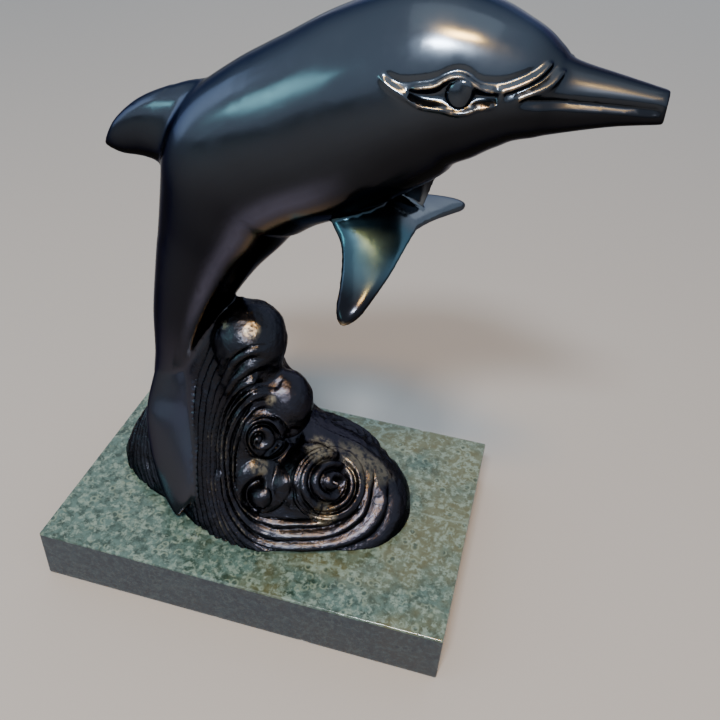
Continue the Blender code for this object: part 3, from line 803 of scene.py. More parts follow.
@dataclass(frozen=True)
class WaveForm:
    """The wave: arches across it, the crests that roll forward, and the relief on its two faces."""

    sections: Line = (
        (-66.0, 2.0, 1.5, 2.0), (-63.0, 9.0, 6.0, 1.9), (-60.5, 15.0, 9.0, 1.8), (-55.0, 25.0, 13.4, 1.6),
        (-50.5, 32.0, 16.4, 1.4), (-44.0, 46.0, 19.0, 1.2), (-37.0, 64.0, 21.0, 1.1),
        (-31.0, 76.0, 24.0, 1.1), (-24.0, 82.5, 28.5, 1.15), (-16.0, 85.0, 32.0, 1.3),
        (-10.0, 84.0, 33.5, 1.45), (-5.5, 70.0, 34.2, 1.55), (-1.5, 54.0, 34.3, 1.7),
        (2.5, 42.0, 34.0, 1.8), (8.0, 34.5, 33.4, 1.9), (14.0, 30.5, 32.3, 2.0), (20.0, 28.5, 30.8, 2.0),
        (29.0, 26.0, 27.6, 2.0), (36.0, 22.5, 24.2, 2.0), (42.0, 18.5, 20.5, 2.0), (47.0, 14.0, 15.5, 2.0),
        (50.5, 8.5, 9.0, 2.0), (52.3, 2.0, 2.0, 2.0),
    )
    foot: float = -3.0
    span_steps: int = 4
    arch_steps: int = 40
    crest_cuts: int = 4
    crests: tuple[Lump, ...] = (
        Lump((-9.0, -3.0, 70.5), (12.5, 14.5, 14.5)),
        Lump((-8.0, -7.0, 59.0), (11.0, 13.0, 16.0)),
        Lump((5.0, -6.0, 48.2), (9.5, 11.0, 13.3)),
        Lump((-2.0, 8.0, 38.0), (9.5, 13.0, 10.5)),
        Lump((-3.0, -17.0, 43.0), (8.5, 8.0, 9.0)),
        Lump((15.0, -13.0, 22.0), (12.5, 14.0, 12.5)),
    )

    def rings(self) -> list[Array]:
        """Rings of the wave, each an arch across it standing on the slab.

        Returns:
            The rings, from behind to the front.
        """
        angles = np.linspace(0, math.pi, self.arch_steps)
        rings = []
        for x, height, foot, fullness in smooth_line(self.sections, self.span_steps):
            aside, up = superellipse(angles, fullness)
            arch = np.stack([np.full(self.arch_steps, x), foot * aside, height * up], axis=-1)
            rings.append(np.vstack([arch, (x, -foot, self.foot), (x, foot, self.foot)]))
        return rings

    def meshes(self) -> list[Mesh]:
        """The wave and its crests, as closed meshes.

        Returns:
            The meshes, the wave first.
        """
        made = [loft(self.rings())]
        for lump in self.crests:
            matrix = Matrix.Translation(lump.centre) @ Matrix.Diagonal((*lump.radii, 1.0))
            made.append(bpy.data.meshes.new("lump"))
            with edited(made[-1]) as ball:
                bmesh.ops.create_icosphere(ball, subdivisions=self.crest_cuts, radius=1, matrix=matrix)
        return made


STOCK_LINE: Line = (
    (-26.4, 48.0), (-29.6, 40.5), (-32.0, 32.5), (-32.6, 22.0), (-32.5, 9.8),
    (-32.4, 1.2), (-31.8, -7.4), (-30.4, -14.7), (-27.6, -22.0), (-23.0, -32.0),
)
ARC_LINE: Line = (
    (-5.5, 46.4), (-11.2, 46.1), (-14.7, 44.9), (-18.2, 42.5), (-21.1, 39.5), (-23.6, 35.0),
    (-25.4, 29.0), (-27.0, 19.0), (-27.8, 8.0), (-27.6, -3.0), (-26.4, -11.0), (-22.5, -22.0),
    (-16.0, -33.0),
)
DIVIDING_LINE: Line = (
    (-3.5, 32.2), (-7.6, 30.7), (-11.5, 29.9), (-15.2, 28.4), (-19.3, 24.7),
    (-22.1, 20.7), (-23.5, 15.4), (-24.0, 9.7), (-24.0, 3.9), (-23.8, -1.8),
)
COLUMN_FOOT: Line = (
    (-23.0, -8.0), (-20.9, -14.6), (-17.6, -20.2), (-13.6, -24.8), (-8.0, -30.0), (0.0, -34.0),
)
SWEEP_FOOT: Line = (
    (-22.9, -8.1), (-20.7, -14.4), (-17.3, -19.5), (-13.3, -23.5), (-7.6, -26.8), (-0.8, -28.5),
    (7.2, -29.4), (14.1, -29.6), (21.5, -29.0), (29.2, -27.0), (35.6, -22.8), (39.4, -16.8), (40.4, -10.6),
    (39.6, -5.0), (37.6, 1.0),
)
OUTER_GROOVE: Line = (
    (-5.0, 29.9), (-10.6, 28.6), (-14.3, 26.3), (-17.9, 22.3), (-20.6, 17.8), (-21.9, 12.5), (-22.1, 6.0),
    (-21.3, -0.7), (-20.5, -6.4), (-18.5, -12.2), (-15.0, -17.3), (-10.5, -21.4), (-4.2, -23.8),
    (3.8, -24.0), (10.7, -24.0), (16.5, -23.2), (22.4, -21.0), (27.1, -17.7), (30.1, -13.2),
    (31.7, -8.0), (31.9, -2.2), (30.6, 4.0),
)
MIDDLE_GROOVE: Line = (
    (-4.4, 26.6), (-9.7, 25.5), (-13.2, 22.7), (-16.4, 18.6), (-18.6, 14.0), (-19.4, 8.2), (-19.2, 1.4),
    (-18.2, -5.9), (-15.6, -11.7), (-11.6, -16.0), (-6.5, -18.6), (-0.8, -19.6), (8.5, -19.4),
    (14.2, -19.0), (18.9, -17.2), (23.1, -14.0), (25.8, -9.4), (27.0, -4.3), (26.8, 1.0),
    (24.8, 6.6),
)
INNER_GROOVE: Line = (
    (-4.0, 23.2), (-8.8, 22.8), (-12.4, 20.2), (-14.8, 16.2), (-16.2, 10.6), (-17.0, 4.0), (-17.1, -0.8),
    (-16.2, -6.5), (-13.6, -10.9), (-10.2, -13.4), (-5.5, -14.6), (0.0, -15.0), (6.5, -15.2),
    (13.0, -14.8), (18.5, -12.8), (22.4, -8.6), (24.0, -3.5), (23.4, 2.0), (20.6, 8.0),
)
TAIL_END_OUTER: Line = ((-45.5, 30.5), (-49.6, 22.5), (-52.4, 13.6), (-52.8, 4.0), (-49.0, -6.0))
TAIL_END_INNER: Line = ((-44.1, 26.7), (-46.0, 18.0), (-45.9, 9.4), (-44.0, 0.8), (-40.8, -7.7))


@dataclass(frozen=True)
class WaveRelief:
    """The relief of the wave, as (right, up) on a plane that faces one point, thrown from there."""

    middle: Triple = (10.0, -22.0, 29.7)
    faced: Triple = (76.6, -208.7, 232.5)
    bands: tuple[RibBand, ...] = (
        RibBand((STOCK_LINE, ARC_LINE), (0.5, 3.5), 1.0, 0.15),
        RibBand((ARC_LINE, DIVIDING_LINE + COLUMN_FOOT), (0.5, 3.5), 1.6, 0.3),
        RibBand(
            (DIVIDING_LINE + SWEEP_FOOT, OUTER_GROOVE, MIDDLE_GROOVE, INNER_GROOVE),
            (0.0, 1.5, 2.5, 3.5),
            2.5,
            0.4,
        ),
        RibBand((TAIL_END_OUTER, TAIL_END_INNER), (0.5, 3.5), 1.0, 0.4),
    )
    curls: tuple[Curl, ...] = (
        Curl((-6.0, 13.2), (-3.8, -0.8), 8.6, 8.4, 2.9, 2.2, Hand.CLOCKWISE),
        Curl((15.0, -3.4), (1.2, 0.6), 13.5, 9.8, 3.7, 2.6, Hand.ANTICLOCKWISE),
    )
    hood: Round = Round((-7.9, -3.4), 9.5, 2.8)
    pits: tuple[Round, ...] = (
        Round((-6.0, 33.8), 5.4, -2.8),
        Round((3.6, 13.4), 3.8, -2.4),
        Round((2.0, -5.6), 3.2, -1.8),
    )
    bead: Round = Round((-8.3, -7.0), 3.8, 1.6)
    # A few bright places of the front: partly wear, partly painted glints, and a broad painted sheen on the
    # right slope.
    rubbed: tuple[Round, ...] = (
        Round((-11.5, 51.5), 3.2, 1.0),
        Round((-21.4, 53.6), 1.8, 0.6),
        Round((12.0, 8.5), 5.5, 0.8),
        Round((-5.0, 26.4), 2.0, 0.8),
        Round((-9.5, 3.5), 3.2, 0.7),
        Round((13.0, -13.5), 5.0, 0.8),
        Round((31.0, 8.0), 13.0, 0.6),
    )
    folds: tuple[Fold, ...] = (
        Fold(DIVIDING_LINE, -1.6, 1.1),
        Fold(STOCK_LINE[:-4], -0.8, 0.8),
        Fold(
            ((-7.4, -1.6), (-10.6, -2.4), (-13.0, -5.0), (-13.3, -8.4), (-11.6, -11.2), (-8.4, -12.6)),
            -3.6,
            1.6,
        ),
        Fold(((-16.5, -3.7), (-17.1, -6.5), (-15.6, -10.0), (-12.8, -12.3)), 0.6, 0.8),
        Fold(((10.2, 19.9), (17.6, 16.2), (24.6, 11.2), (31.6, 4.8), (37.5, -2.3)), 0.7, 1.8),
        Fold(((15.8, 12.0), (22.8, 6.7), (30.5, -0.1), (34.6, -7.5), (35.9, -13.4)), 0.5, 1.5),
    )
    mirror: Triple = (1.0, -1.0, 1.0)
    back_share: float = 0.8
    facing_range: Pair = (0.1, 0.35)
    front_up_to: float = 6.0
    back_from: Pair = (11.0, 17.0)
    back_facing: Pair = (0.35, 0.65)
    bold_from: float = -14.0
    bold_at: float = 2.0
    left_rib_share: float = 0.75
    cap_from: Pair = (26.0, 34.0)
    bold_strand_loss: float = 0.8

    def on_face(self, points: Array) -> Array:
        """Points as (right, up) on the plane of the relief, seen from the point that it faces.

        Args:
            points: Points of the skin.

        Returns:
            Where each point is seen on the plane.
        """
        middle, eye = np.array(self.middle), np.array(self.faced)
        normal = unit(eye - middle)
        right = unit(np.cross((0, 0, 1), normal))
        up = np.cross(normal, right)
        sight = points - eye
        reach = ((middle - eye) @ normal) / (sight @ normal)
        landed = eye + sight * reach[:, None] - middle
        return np.stack([landed @ right, landed @ up], axis=-1)

    def facing(self, points: Array, normals: Array) -> Array:
        """How squarely the skin faces the point that the relief is thrown from.

        Args:
            points: Points of the skin.
            normals: Their normals.

        Returns:
            1 where it does, 0 where it turns away.
        """
        sight = np.array(self.faced) - points
        sight /= np.linalg.norm(sight, axis=1)[:, None]
        return fade(np.sum(normals * sight, axis=1), *self.facing_range)

    def rubbed_share(self, points: Array, normals: Array) -> Array:
        """How far the front shows bright at points of the skin, in its few bright places: partly wear, partly
        painted glints and painted sheen.

        Args:
            points: Points of the skin.
            normals: Their normals.

        Returns:
            The share at each point.
        """
        flat = self.on_face(points)
        share = np.max([place.dome(flat) for place in self.rubbed], axis=0) * self.facing(points, normals)
        return share * fade(self.front_up_to - points[:, 1], 0, self.front_up_to)

    def ribs(self, flat: Array) -> Carving:
        """The bands of ribs: fine strands on the left, bold ribs on the lower right and the cap.

        Args:
            flat: Points of the relief's plane.

        Returns:
            The carving with the ribs alone.
        """
        carving = Carving.blank(len(flat))
        for band in self.bands:
            band.lay(carving, flat)
        bold = fade(flat[:, 0], self.bold_from, self.bold_at) * (flat[:, 1] < 0)
        bold = np.maximum(bold, fade(flat[:, 1], *self.cap_from))
        carving.rib_depth = carving.rib_depth * np.maximum(bold, self.left_rib_share)
        carving.strand_depth = carving.strand_depth * (1 - bold * self.bold_strand_loss)
        return carving

    def front(self, flat: Array) -> Carving:
        """The carved front of the wave.

        Args:
            flat: Points of the relief's plane.

        Returns:
            The carving for the points.
        """
        carving = self.ribs(flat)
        for curl in self.curls:
            curl.lay(carving, flat)
        away = np.linalg.norm(flat - np.array(self.hood.centre), axis=1)
        share = fade(self.hood.radius - away, 0, 1)
        blank = np.zeros(len(flat))
        carving.cover(blank, blank, blank, share)
        carving.rise *= 1 - share
        for form in (self.hood, *self.pits, self.bead):
            carving.rise = carving.rise + form.dome(flat)
        for fold in self.folds:
            carving.rise = carving.rise + fold.height(flat)
        return carving

    def back(self, flat: Array) -> Carving:
        """The back of the wave, plainer: its ribs and its large curl.

        Args:
            flat: Points of the relief's plane.

        Returns:
            The carving for the points.
        """
        carving = self.ribs(flat)
        self.curls[-1].lay(carving, flat)
        return carving

    def carve(self, points: Array, normals: Array) -> Carving:
        """The relief for points of the skin.

        Args:
            points: Points of the skin.
            normals: Their normals.

        Returns:
            The carving of the front on the front, and that of the back behind.
        """
        carving = Carving.blank(len(points))
        mirror = np.array(self.mirror)
        near = points[:, 1] < self.front_up_to
        before = self.facing(points, normals) * near
        behind = fade(points[:, 1], *self.back_from) * self.back_share
        behind *= fade(normals[:, 1], *self.back_facing)
        after = self.facing(points * mirror, normals * mirror) * behind
        front, back = np.flatnonzero(before > 0), np.flatnonzero(after > 0)
        carving.put(front, self.front(self.on_face(points[front])).scaled(before[front]))
        carving.put(back, self.back(self.on_face(points[back] * mirror)).scaled(after[back]))
        return carving


class NodeSketch:
    """Short ways to add nodes to a tree and to join them."""

    def __init__(self, tree: bpy.types.NodeTree) -> None:
        """Keeps the tree."""
        self.tree = tree

    def feed(self, socket: Socket, value: object) -> None:
        """Joins a socket to an output, or sets its value.

        Args:
            socket: The socket.
            value: The output to join, or the value.
        """
        if isinstance(value, Socket):
            self.tree.links.new(value, socket)
        else:
            socket.default_value = value

    def add(self, kind: str, values: dict | None = None, **settings: object) -> bpy.types.Node:
        """Adds a node.

        Args:
            kind: The node's type.
            values: Its inputs, by name or number: an output to join, or a value.
            settings: Its properties.

        Returns:
            The node.
        """
        made = self.tree.nodes.new(kind)
        for name, value in settings.items():
            setattr(made, name, value)
        for key, value in (values or {}).items():
            self.feed(made.inputs[key], value)
        return made

    def math(self, operation: str, *values: object, clamp: bool = False) -> Socket:
        """The result of a sum on numbers."""
        numbered = dict(enumerate(values))
        return self.add("ShaderNodeMath", numbered, operation=operation, use_clamp=clamp).outputs[0]

    def product(self, first: object, second: object) -> Socket:
        """Two numbers, multiplied."""
        return self.math("MULTIPLY", first, second)

    def mix(self, share: object, first: object, second: object) -> Socket:
        """A number between two others, by a share."""
        return self.add("ShaderNodeMix", {0: share, 2: first, 3: second}).outputs[0]

    def vector(self, operation: str, *values: object) -> Socket:
        """The result of a sum on vectors."""
        return self.add("ShaderNodeVectorMath", dict(enumerate(values)), operation=operation).outputs[0]

    def times(self, vector: object, factor: object) -> Socket:
        """A vector at a multiple of its length."""
        made = self.add("ShaderNodeVectorMath", {0: vector, "Scale": factor}, operation="SCALE")
        return made.outputs[0]

    def step(self, value: Socket, start: float, end: float, low: float = 0.0, high: float = 1.0) -> Socket:
        """An eased step of a value, from low at start to high at end."""
        values = {0: value, 1: start, 2: end, 3: low, 4: high}
        return self.add("ShaderNodeMapRange", values, interpolation_type="SMOOTHSTEP").outputs[0]

    def blend(self, share: object, first: object, second: object) -> Socket:
        """The second colour laid over the first by a share.

        Args:
            share: How far the second one covers.
            first: The colour below.
            second: The colour above.

        Returns:
            The blend's output.
        """
        first = (*first, 1.0) if isinstance(first, tuple) else first
        second = (*second, 1.0) if isinstance(second, tuple) else second
        return self.add("ShaderNodeMix", {0: share, 6: first, 7: second}, data_type="RGBA").outputs[2]

    def tint(self, share: Socket, most: float, base: object, colour: object) -> Socket:
        """The base with a colour laid over it by a share, up to the most that it covers."""
        return self.blend(self.product(share, most), base, colour)

    def noise(
        self, place: Socket, scale: object, detail: float = 2.0, seed: object = 0.0, **more: float
    ) -> Socket:
        """Noise at a place, from 0 to 1, with its own seed.

        Args:
            place: Where it is taken.
            scale: How fine it is.
            detail: How many finer layers it has.
            seed: Its seed.
            more: The noise's other inputs, by their names in small letters.

        Returns:
            The noise's output.
        """
        values = {"Vector": place, "W": seed, "Scale": scale, "Detail": detail}
        values |= {name.capitalize(): value for name, value in more.items()}
        return self.add("ShaderNodeTexNoise", values, noise_dimensions="4D").outputs[0]

    def sway(self, most: object, *where: object, **more: float) -> Socket:
        """Noise about 0, by an amount, from what the noise takes."""
        return self.product(self.math("SUBTRACT", self.noise(*where, **more), HALF), most)

    def cells(self, place: Socket, scale: float, feature: str = "F1") -> Socket:
        """Distances in a pattern of cells at a place."""
        made = self.add("ShaderNodeTexVoronoi", {"Vector": place, "Scale": scale}, feature=feature)
        return made.outputs["Distance"]

    def bump(self, strength: object, distance: float, height: Socket) -> Socket:
        """The normal of a finely uneven skin."""
        values = {"Strength": strength, "Distance": distance, "Height": height}
        return self.add("ShaderNodeBump", values).outputs[0]

    def attribute(self, name: str) -> Socket:
        """A number kept on the mesh, for a material."""
        return self.add("ShaderNodeAttribute", attribute_name=name).outputs["Fac"]


class MaterialSketch(NodeSketch):
    """The nodes of a new material, with its shader and the place in the object's own frame."""

    def __init__(self, name: str) -> None:
        """Makes the material.

        Args:
            name: Name of the material.
        """
        self.material = bpy.data.materials.new(name)
        self.material.use_nodes = True
        super().__init__(self.material.node_tree)
        self.shader = self.tree.nodes["Principled BSDF"]
        self.place = self.add("ShaderNodeTexCoord").outputs["Object"]

    def dress(self, values: dict[str, object]) -> Material:
        """Joins or sets the shader's inputs, and hands over the material.

        Args:
            values: What each input of the shader gets, by its name.

        Returns:
            The finished material.
        """
        for name, value in values.items():
            self.feed(self.shader.inputs[name], value)
        return self.material


class FormTree:
    """A Geometry Nodes tree with named inputs, which is run on an object and leaves a plain mesh."""

    def __init__(self, name: str, inputs: dict[str, object]) -> None:
        """Makes the tree's sockets.

        Args:
            name: Name of the tree.
            inputs: The value of each named input: a number, three numbers or a material.
        """
        self.values = inputs
        self.tree = bpy.data.node_groups.new(name, "GeometryNodeTree")
        face = self.tree.interface
        for end in ("INPUT", "OUTPUT"):
            face.new_socket("Geometry", in_out=end, socket_type="NodeSocketGeometry")
        for label, value in inputs.items():
            kind = SOCKET_KINDS.get(type(value), "NodeSocketMaterial")
            face.new_socket(label, in_out="INPUT", socket_type=kind)
        self.sketch = NodeSketch(self.tree)
        self.inputs = self.sketch.add("NodeGroupInput").outputs

    def close(self, geometry: Socket) -> None:
        """Ends the tree: makes its copies real and gives them their material.

        Args:
            geometry: The geometry to end with.
        """
        sketch = self.sketch
        real = sketch.add("GeometryNodeRealizeInstances", {"Geometry": geometry}).outputs[0]
        values = {"Geometry": real, "Material": self.inputs["Material"]}
        dressed = sketch.add("GeometryNodeSetMaterial", values).outputs[0]
        sketch.add("NodeGroupOutput", {"Geometry": dressed})

    def kept(self, name: str) -> Socket:
        """A number kept on the mesh, for this tree."""
        node = self.sketch.add("GeometryNodeInputNamedAttribute", {"Name": name}, data_type="FLOAT")
        return node.outputs["Attribute"]

    def run(self, obj: Object) -> None:
        """Runs the tree on an object, and leaves the result as its plain mesh.

        Args:
            obj: The object.
        """
        modifier = obj.modifiers.new(self.tree.name, "NODES")
        modifier.node_group = self.tree
        for item in self.tree.interface.items_tree:
            if item.in_out == "INPUT" and item.name in self.values:
                modifier[item.identifier] = self.values[item.name]
        settle(obj)


def settle(obj: Object) -> None:
    """Applies the object's modifiers to its mesh.

    Args:
        obj: The object.
    """
    graph = bpy.context.evaluated_depsgraph_get()
    mesh = bpy.data.meshes.new_from_object(obj.evaluated_get(graph))
    obj.modifiers.clear()
    old, obj.data = obj.data, mesh
    bpy.data.meshes.remove(old)


def in_scene(name: str, data: bpy.types.ID) -> Object:
    """A new object, linked to the scene.

    Args:
        name: Its name.
        data: What the object shows.

    Returns:
        The object.
    """
    obj = bpy.data.objects.new(name, data)
    bpy.context.scene.collection.objects.link(obj)
    return obj


@contextmanager
def edited(mesh: Mesh) -> Iterator[bmesh.types.BMesh]:
    """Opens a mesh for edits, and writes them back to it.

    Args:
        mesh: The mesh.

    Returns:
        The mesh, open for edits.
    """
    made = bmesh.new()
    made.from_mesh(mesh)
    yield made
    made.to_mesh(mesh)
    made.free()


def triangles_of(mesh: Mesh) -> int:
    """How many triangles a mesh comes to."""
    return sum(len(face.vertices) - 2 for face in mesh.polygons)


def skin(mesh: Mesh) -> tuple[Array, Array]:
    """Points and normals of a mesh.

    Args:
        mesh: The mesh.

    Returns:
        The points and the normals, a row for each vertex.
    """
    count = len(mesh.vertices)
    points, normals = np.empty(count * 3, np.float32), np.empty(count * 3, np.float32)
    mesh.vertices.foreach_get("co", points)
    mesh.vertices.foreach_get("normal", normals)
    return points.reshape(-1, 3).astype(float), normals.reshape(-1, 3).astype(float)


def keep(mesh: Mesh, name: str, values: Array) -> None:
    """Keeps a number for each point on a mesh."""
    made = mesh.attributes.get(name) or mesh.attributes.new(name, "FLOAT", "POINT")
    made.data.foreach_set("value", values.astype(np.float32))


@dataclass(frozen=True)
class BronzeFinish:
    """Blackened bronze: painted sky reflection above, painted plum reflection lower down, painted light and
    shade in each place that the mesh keeps, and worn to warm metal where the skin stands out, with painted
    glints on the wave."""

    name: str = "dark_bronze"
    black: Colour = (0.046, 0.049, 0.062)
    # Painted sky reflection on the upper body.
    teal: Colour = (0.060, 0.071, 0.089)
    # Painted warm reflection lower down.
    plum: Colour = (0.048, 0.045, 0.062)
    rubbed: Colour = (0.42, 0.31, 0.19)
    # Worn metal on the wave, and the painted glints and painted sheen of its bright places.
    rubbed_cast: Colour = (0.21, 0.175, 0.12)
    # Painted shade under the dolphin, on the flipper tips and on the beak; also the dark of the hollows and
    # of the wave.
    grime: Colour = (0.008, 0.008, 0.010)
    # Painted lit band above the belly ridge.
    lit: Colour = (0.105, 0.105, 0.16)
    # Painted highlight along the belly ridge.
    bronze: Colour = (0.15, 0.11, 0.075)
    # Painted teal reflection on the near flipper.
    sea_green: Colour = (0.046, 0.100, 0.128)
    # Painted pale sheen on the far flipper.
    pale_sheen_blue: Colour = (0.13, 0.15, 0.17)
    edge_tint: Colour = (0.30, 0.30, 0.34)
    smooth_roughness: Pair = (0.15, 0.25)
    cast_roughness: Pair = (0.18, 0.28)
    cast_dark: float = 0.66
    dull_roughness: float = 0.26
    rubbed_roughness: float = 0.42
    head_wear: float = 0.9
    coat: float = 0.05
    coat_roughness: float = 0.12
    grain_scale: float = 950.0
    grain_strength: float = 0.6
    grain_height: float = 0.0005
    broad_scale: float = 22.0
    broad_lift: float = 0.05
    # Heights of the painted sky reflection above and of the painted plum reflection below.
    cool_above: Pair = (0.16, 0.225)
    plum_patches: Pair = (0.42, 0.62)
    plum_below: Pair = (0.2, 0.15)
    plum_share: float = 0.8
    fine_scale: float = 420.0
    patch_scale: float = 90.0
    worn_patches: Pair = (0.42, 0.68)
    worn_fine: Pair = (0.36, 0.6)
    bright_fine: Pair = (0.36, 0.56)
    smooth_patches: Pair = (0.3, 0.7)
    cast_patches: Pair = (0.35, 0.6)

    def places(self) -> tuple[tuple[str, Colour, float], ...]:
        """The places of painted light and shade on the mesh, each with its colour and how far it covers.

        Returns:
            The name that the mesh keeps, the colour and the share, for each place.
        """
        return (
            # Painted shade on the beak and underneath, a painted lit band, a painted ridge highlight, painted
            # flipper reflections.
            ("dull", self.grime, 0.55),
            ("under", self.grime, 0.9),
            ("band", self.lit, 0.7),
            ("ridge", self.bronze, 0.8),
            ("flipper", self.sea_green, 0.85),
            ("pale_blade", self.pale_sheen_blue, 0.7),
        )

    def colour(self, sketch: MaterialSketch) -> Socket:
        """The colour with its painted sky reflection, painted plum reflection and the painted light and shade
        of each place, before wear.

        Args:
            sketch: The material's nodes.

        Returns:
            The colour's output.
        """
        height = sketch.add("ShaderNodeSeparateXYZ", {0: sketch.place}).outputs["Z"]
        broad = sketch.noise(sketch.place, self.broad_scale, detail=3.0, seed=1.0)
        lifted = sketch.math("ADD", height, sketch.product(broad, self.broad_lift))
        # Painted plum reflection in patches lower down.
        warm = sketch.product(sketch.step(broad, *self.plum_patches), sketch.step(lifted, *self.plum_below))
        # Painted sky reflection: teal higher up.
        base = sketch.blend(sketch.step(lifted, *self.cool_above), self.black, self.teal)
        base = sketch.tint(warm, self.plum_share, base, self.plum)
        # The painted light and shade of each place that the mesh keeps.
        for name, colour, most in self.places():
            base = sketch.tint(sketch.attribute(name), most, base, colour)
        return base

    def rub(self, sketch: MaterialSketch, cast: Socket, patchy: Socket, fine: Socket) -> Socket:
        """How far the metal shows bright: worn bare evenly on the dolphin and in patches on the wave, and in
        the few bright places of the wave, partly wear and partly painted glints and painted sheen.

        Args:
            sketch: The material's nodes.
            cast: 1 on the wave, 0 on the dolphin.
            patchy: The broad patches of wear.
            fine: The fine noise in them.

        Returns:
            The share's output.
        """
        broken = sketch.product(sketch.step(patchy, *self.worn_patches), sketch.step(fine, *self.worn_fine))
        share = sketch.mix(cast, self.head_wear, broken)
        worn = sketch.math("MULTIPLY", sketch.attribute("worn"), share, clamp=True)
        # Painted glints and painted sheen, partly wear, in the few bright places of the wave.
        bright = sketch.product(sketch.attribute("rubbed"), sketch.step(fine, *self.bright_fine))
        return sketch.math("MAXIMUM", worn, bright)

    def make(self) -> Material:
        """The material.

        Returns:
            The material, which reads what the casting's mesh keeps.
        """
        sketch = MaterialSketch(self.name)
        cast = sketch.attribute("cast")
        fine = sketch.noise(sketch.place, self.fine_scale, detail=4.0, seed=2.0, roughness=0.6)
        patchy = sketch.noise(sketch.place, self.patch_scale, detail=3.0, seed=3.0)
        rub = self.rub(sketch, cast, patchy, fine)
        colour = sketch.tint(cast, self.cast_dark, self.colour(sketch), self.grime)
        colour = sketch.blend(sketch.attribute("hollow"), colour, self.grime)
        colour = sketch.blend(rub, colour, sketch.blend(cast, self.rubbed, self.rubbed_cast))
        smooth = sketch.step(patchy, *self.smooth_patches, *self.smooth_roughness)
        smooth = sketch.mix(sketch.attribute("dull"), smooth, self.dull_roughness)
        rough = sketch.step(patchy, *self.cast_patches, *self.cast_roughness)
        roughness = sketch.mix(rub, sketch.mix(cast, smooth, rough), self.rubbed_roughness)
        grain = sketch.noise(sketch.place, self.grain_scale, detail=3.0, seed=4.0, roughness=0.65)
        normal = sketch.bump(sketch.product(cast, self.grain_strength), self.grain_height, grain)
        return sketch.dress({
            "Base Color": colour,
            "Roughness": roughness,
            "Normal": normal,
            "Metallic": 1.0,
            "Specular Tint": (*self.edge_tint, 1),
            "Coat Weight": self.coat,
            "Coat Roughness": self.coat_roughness,
        })


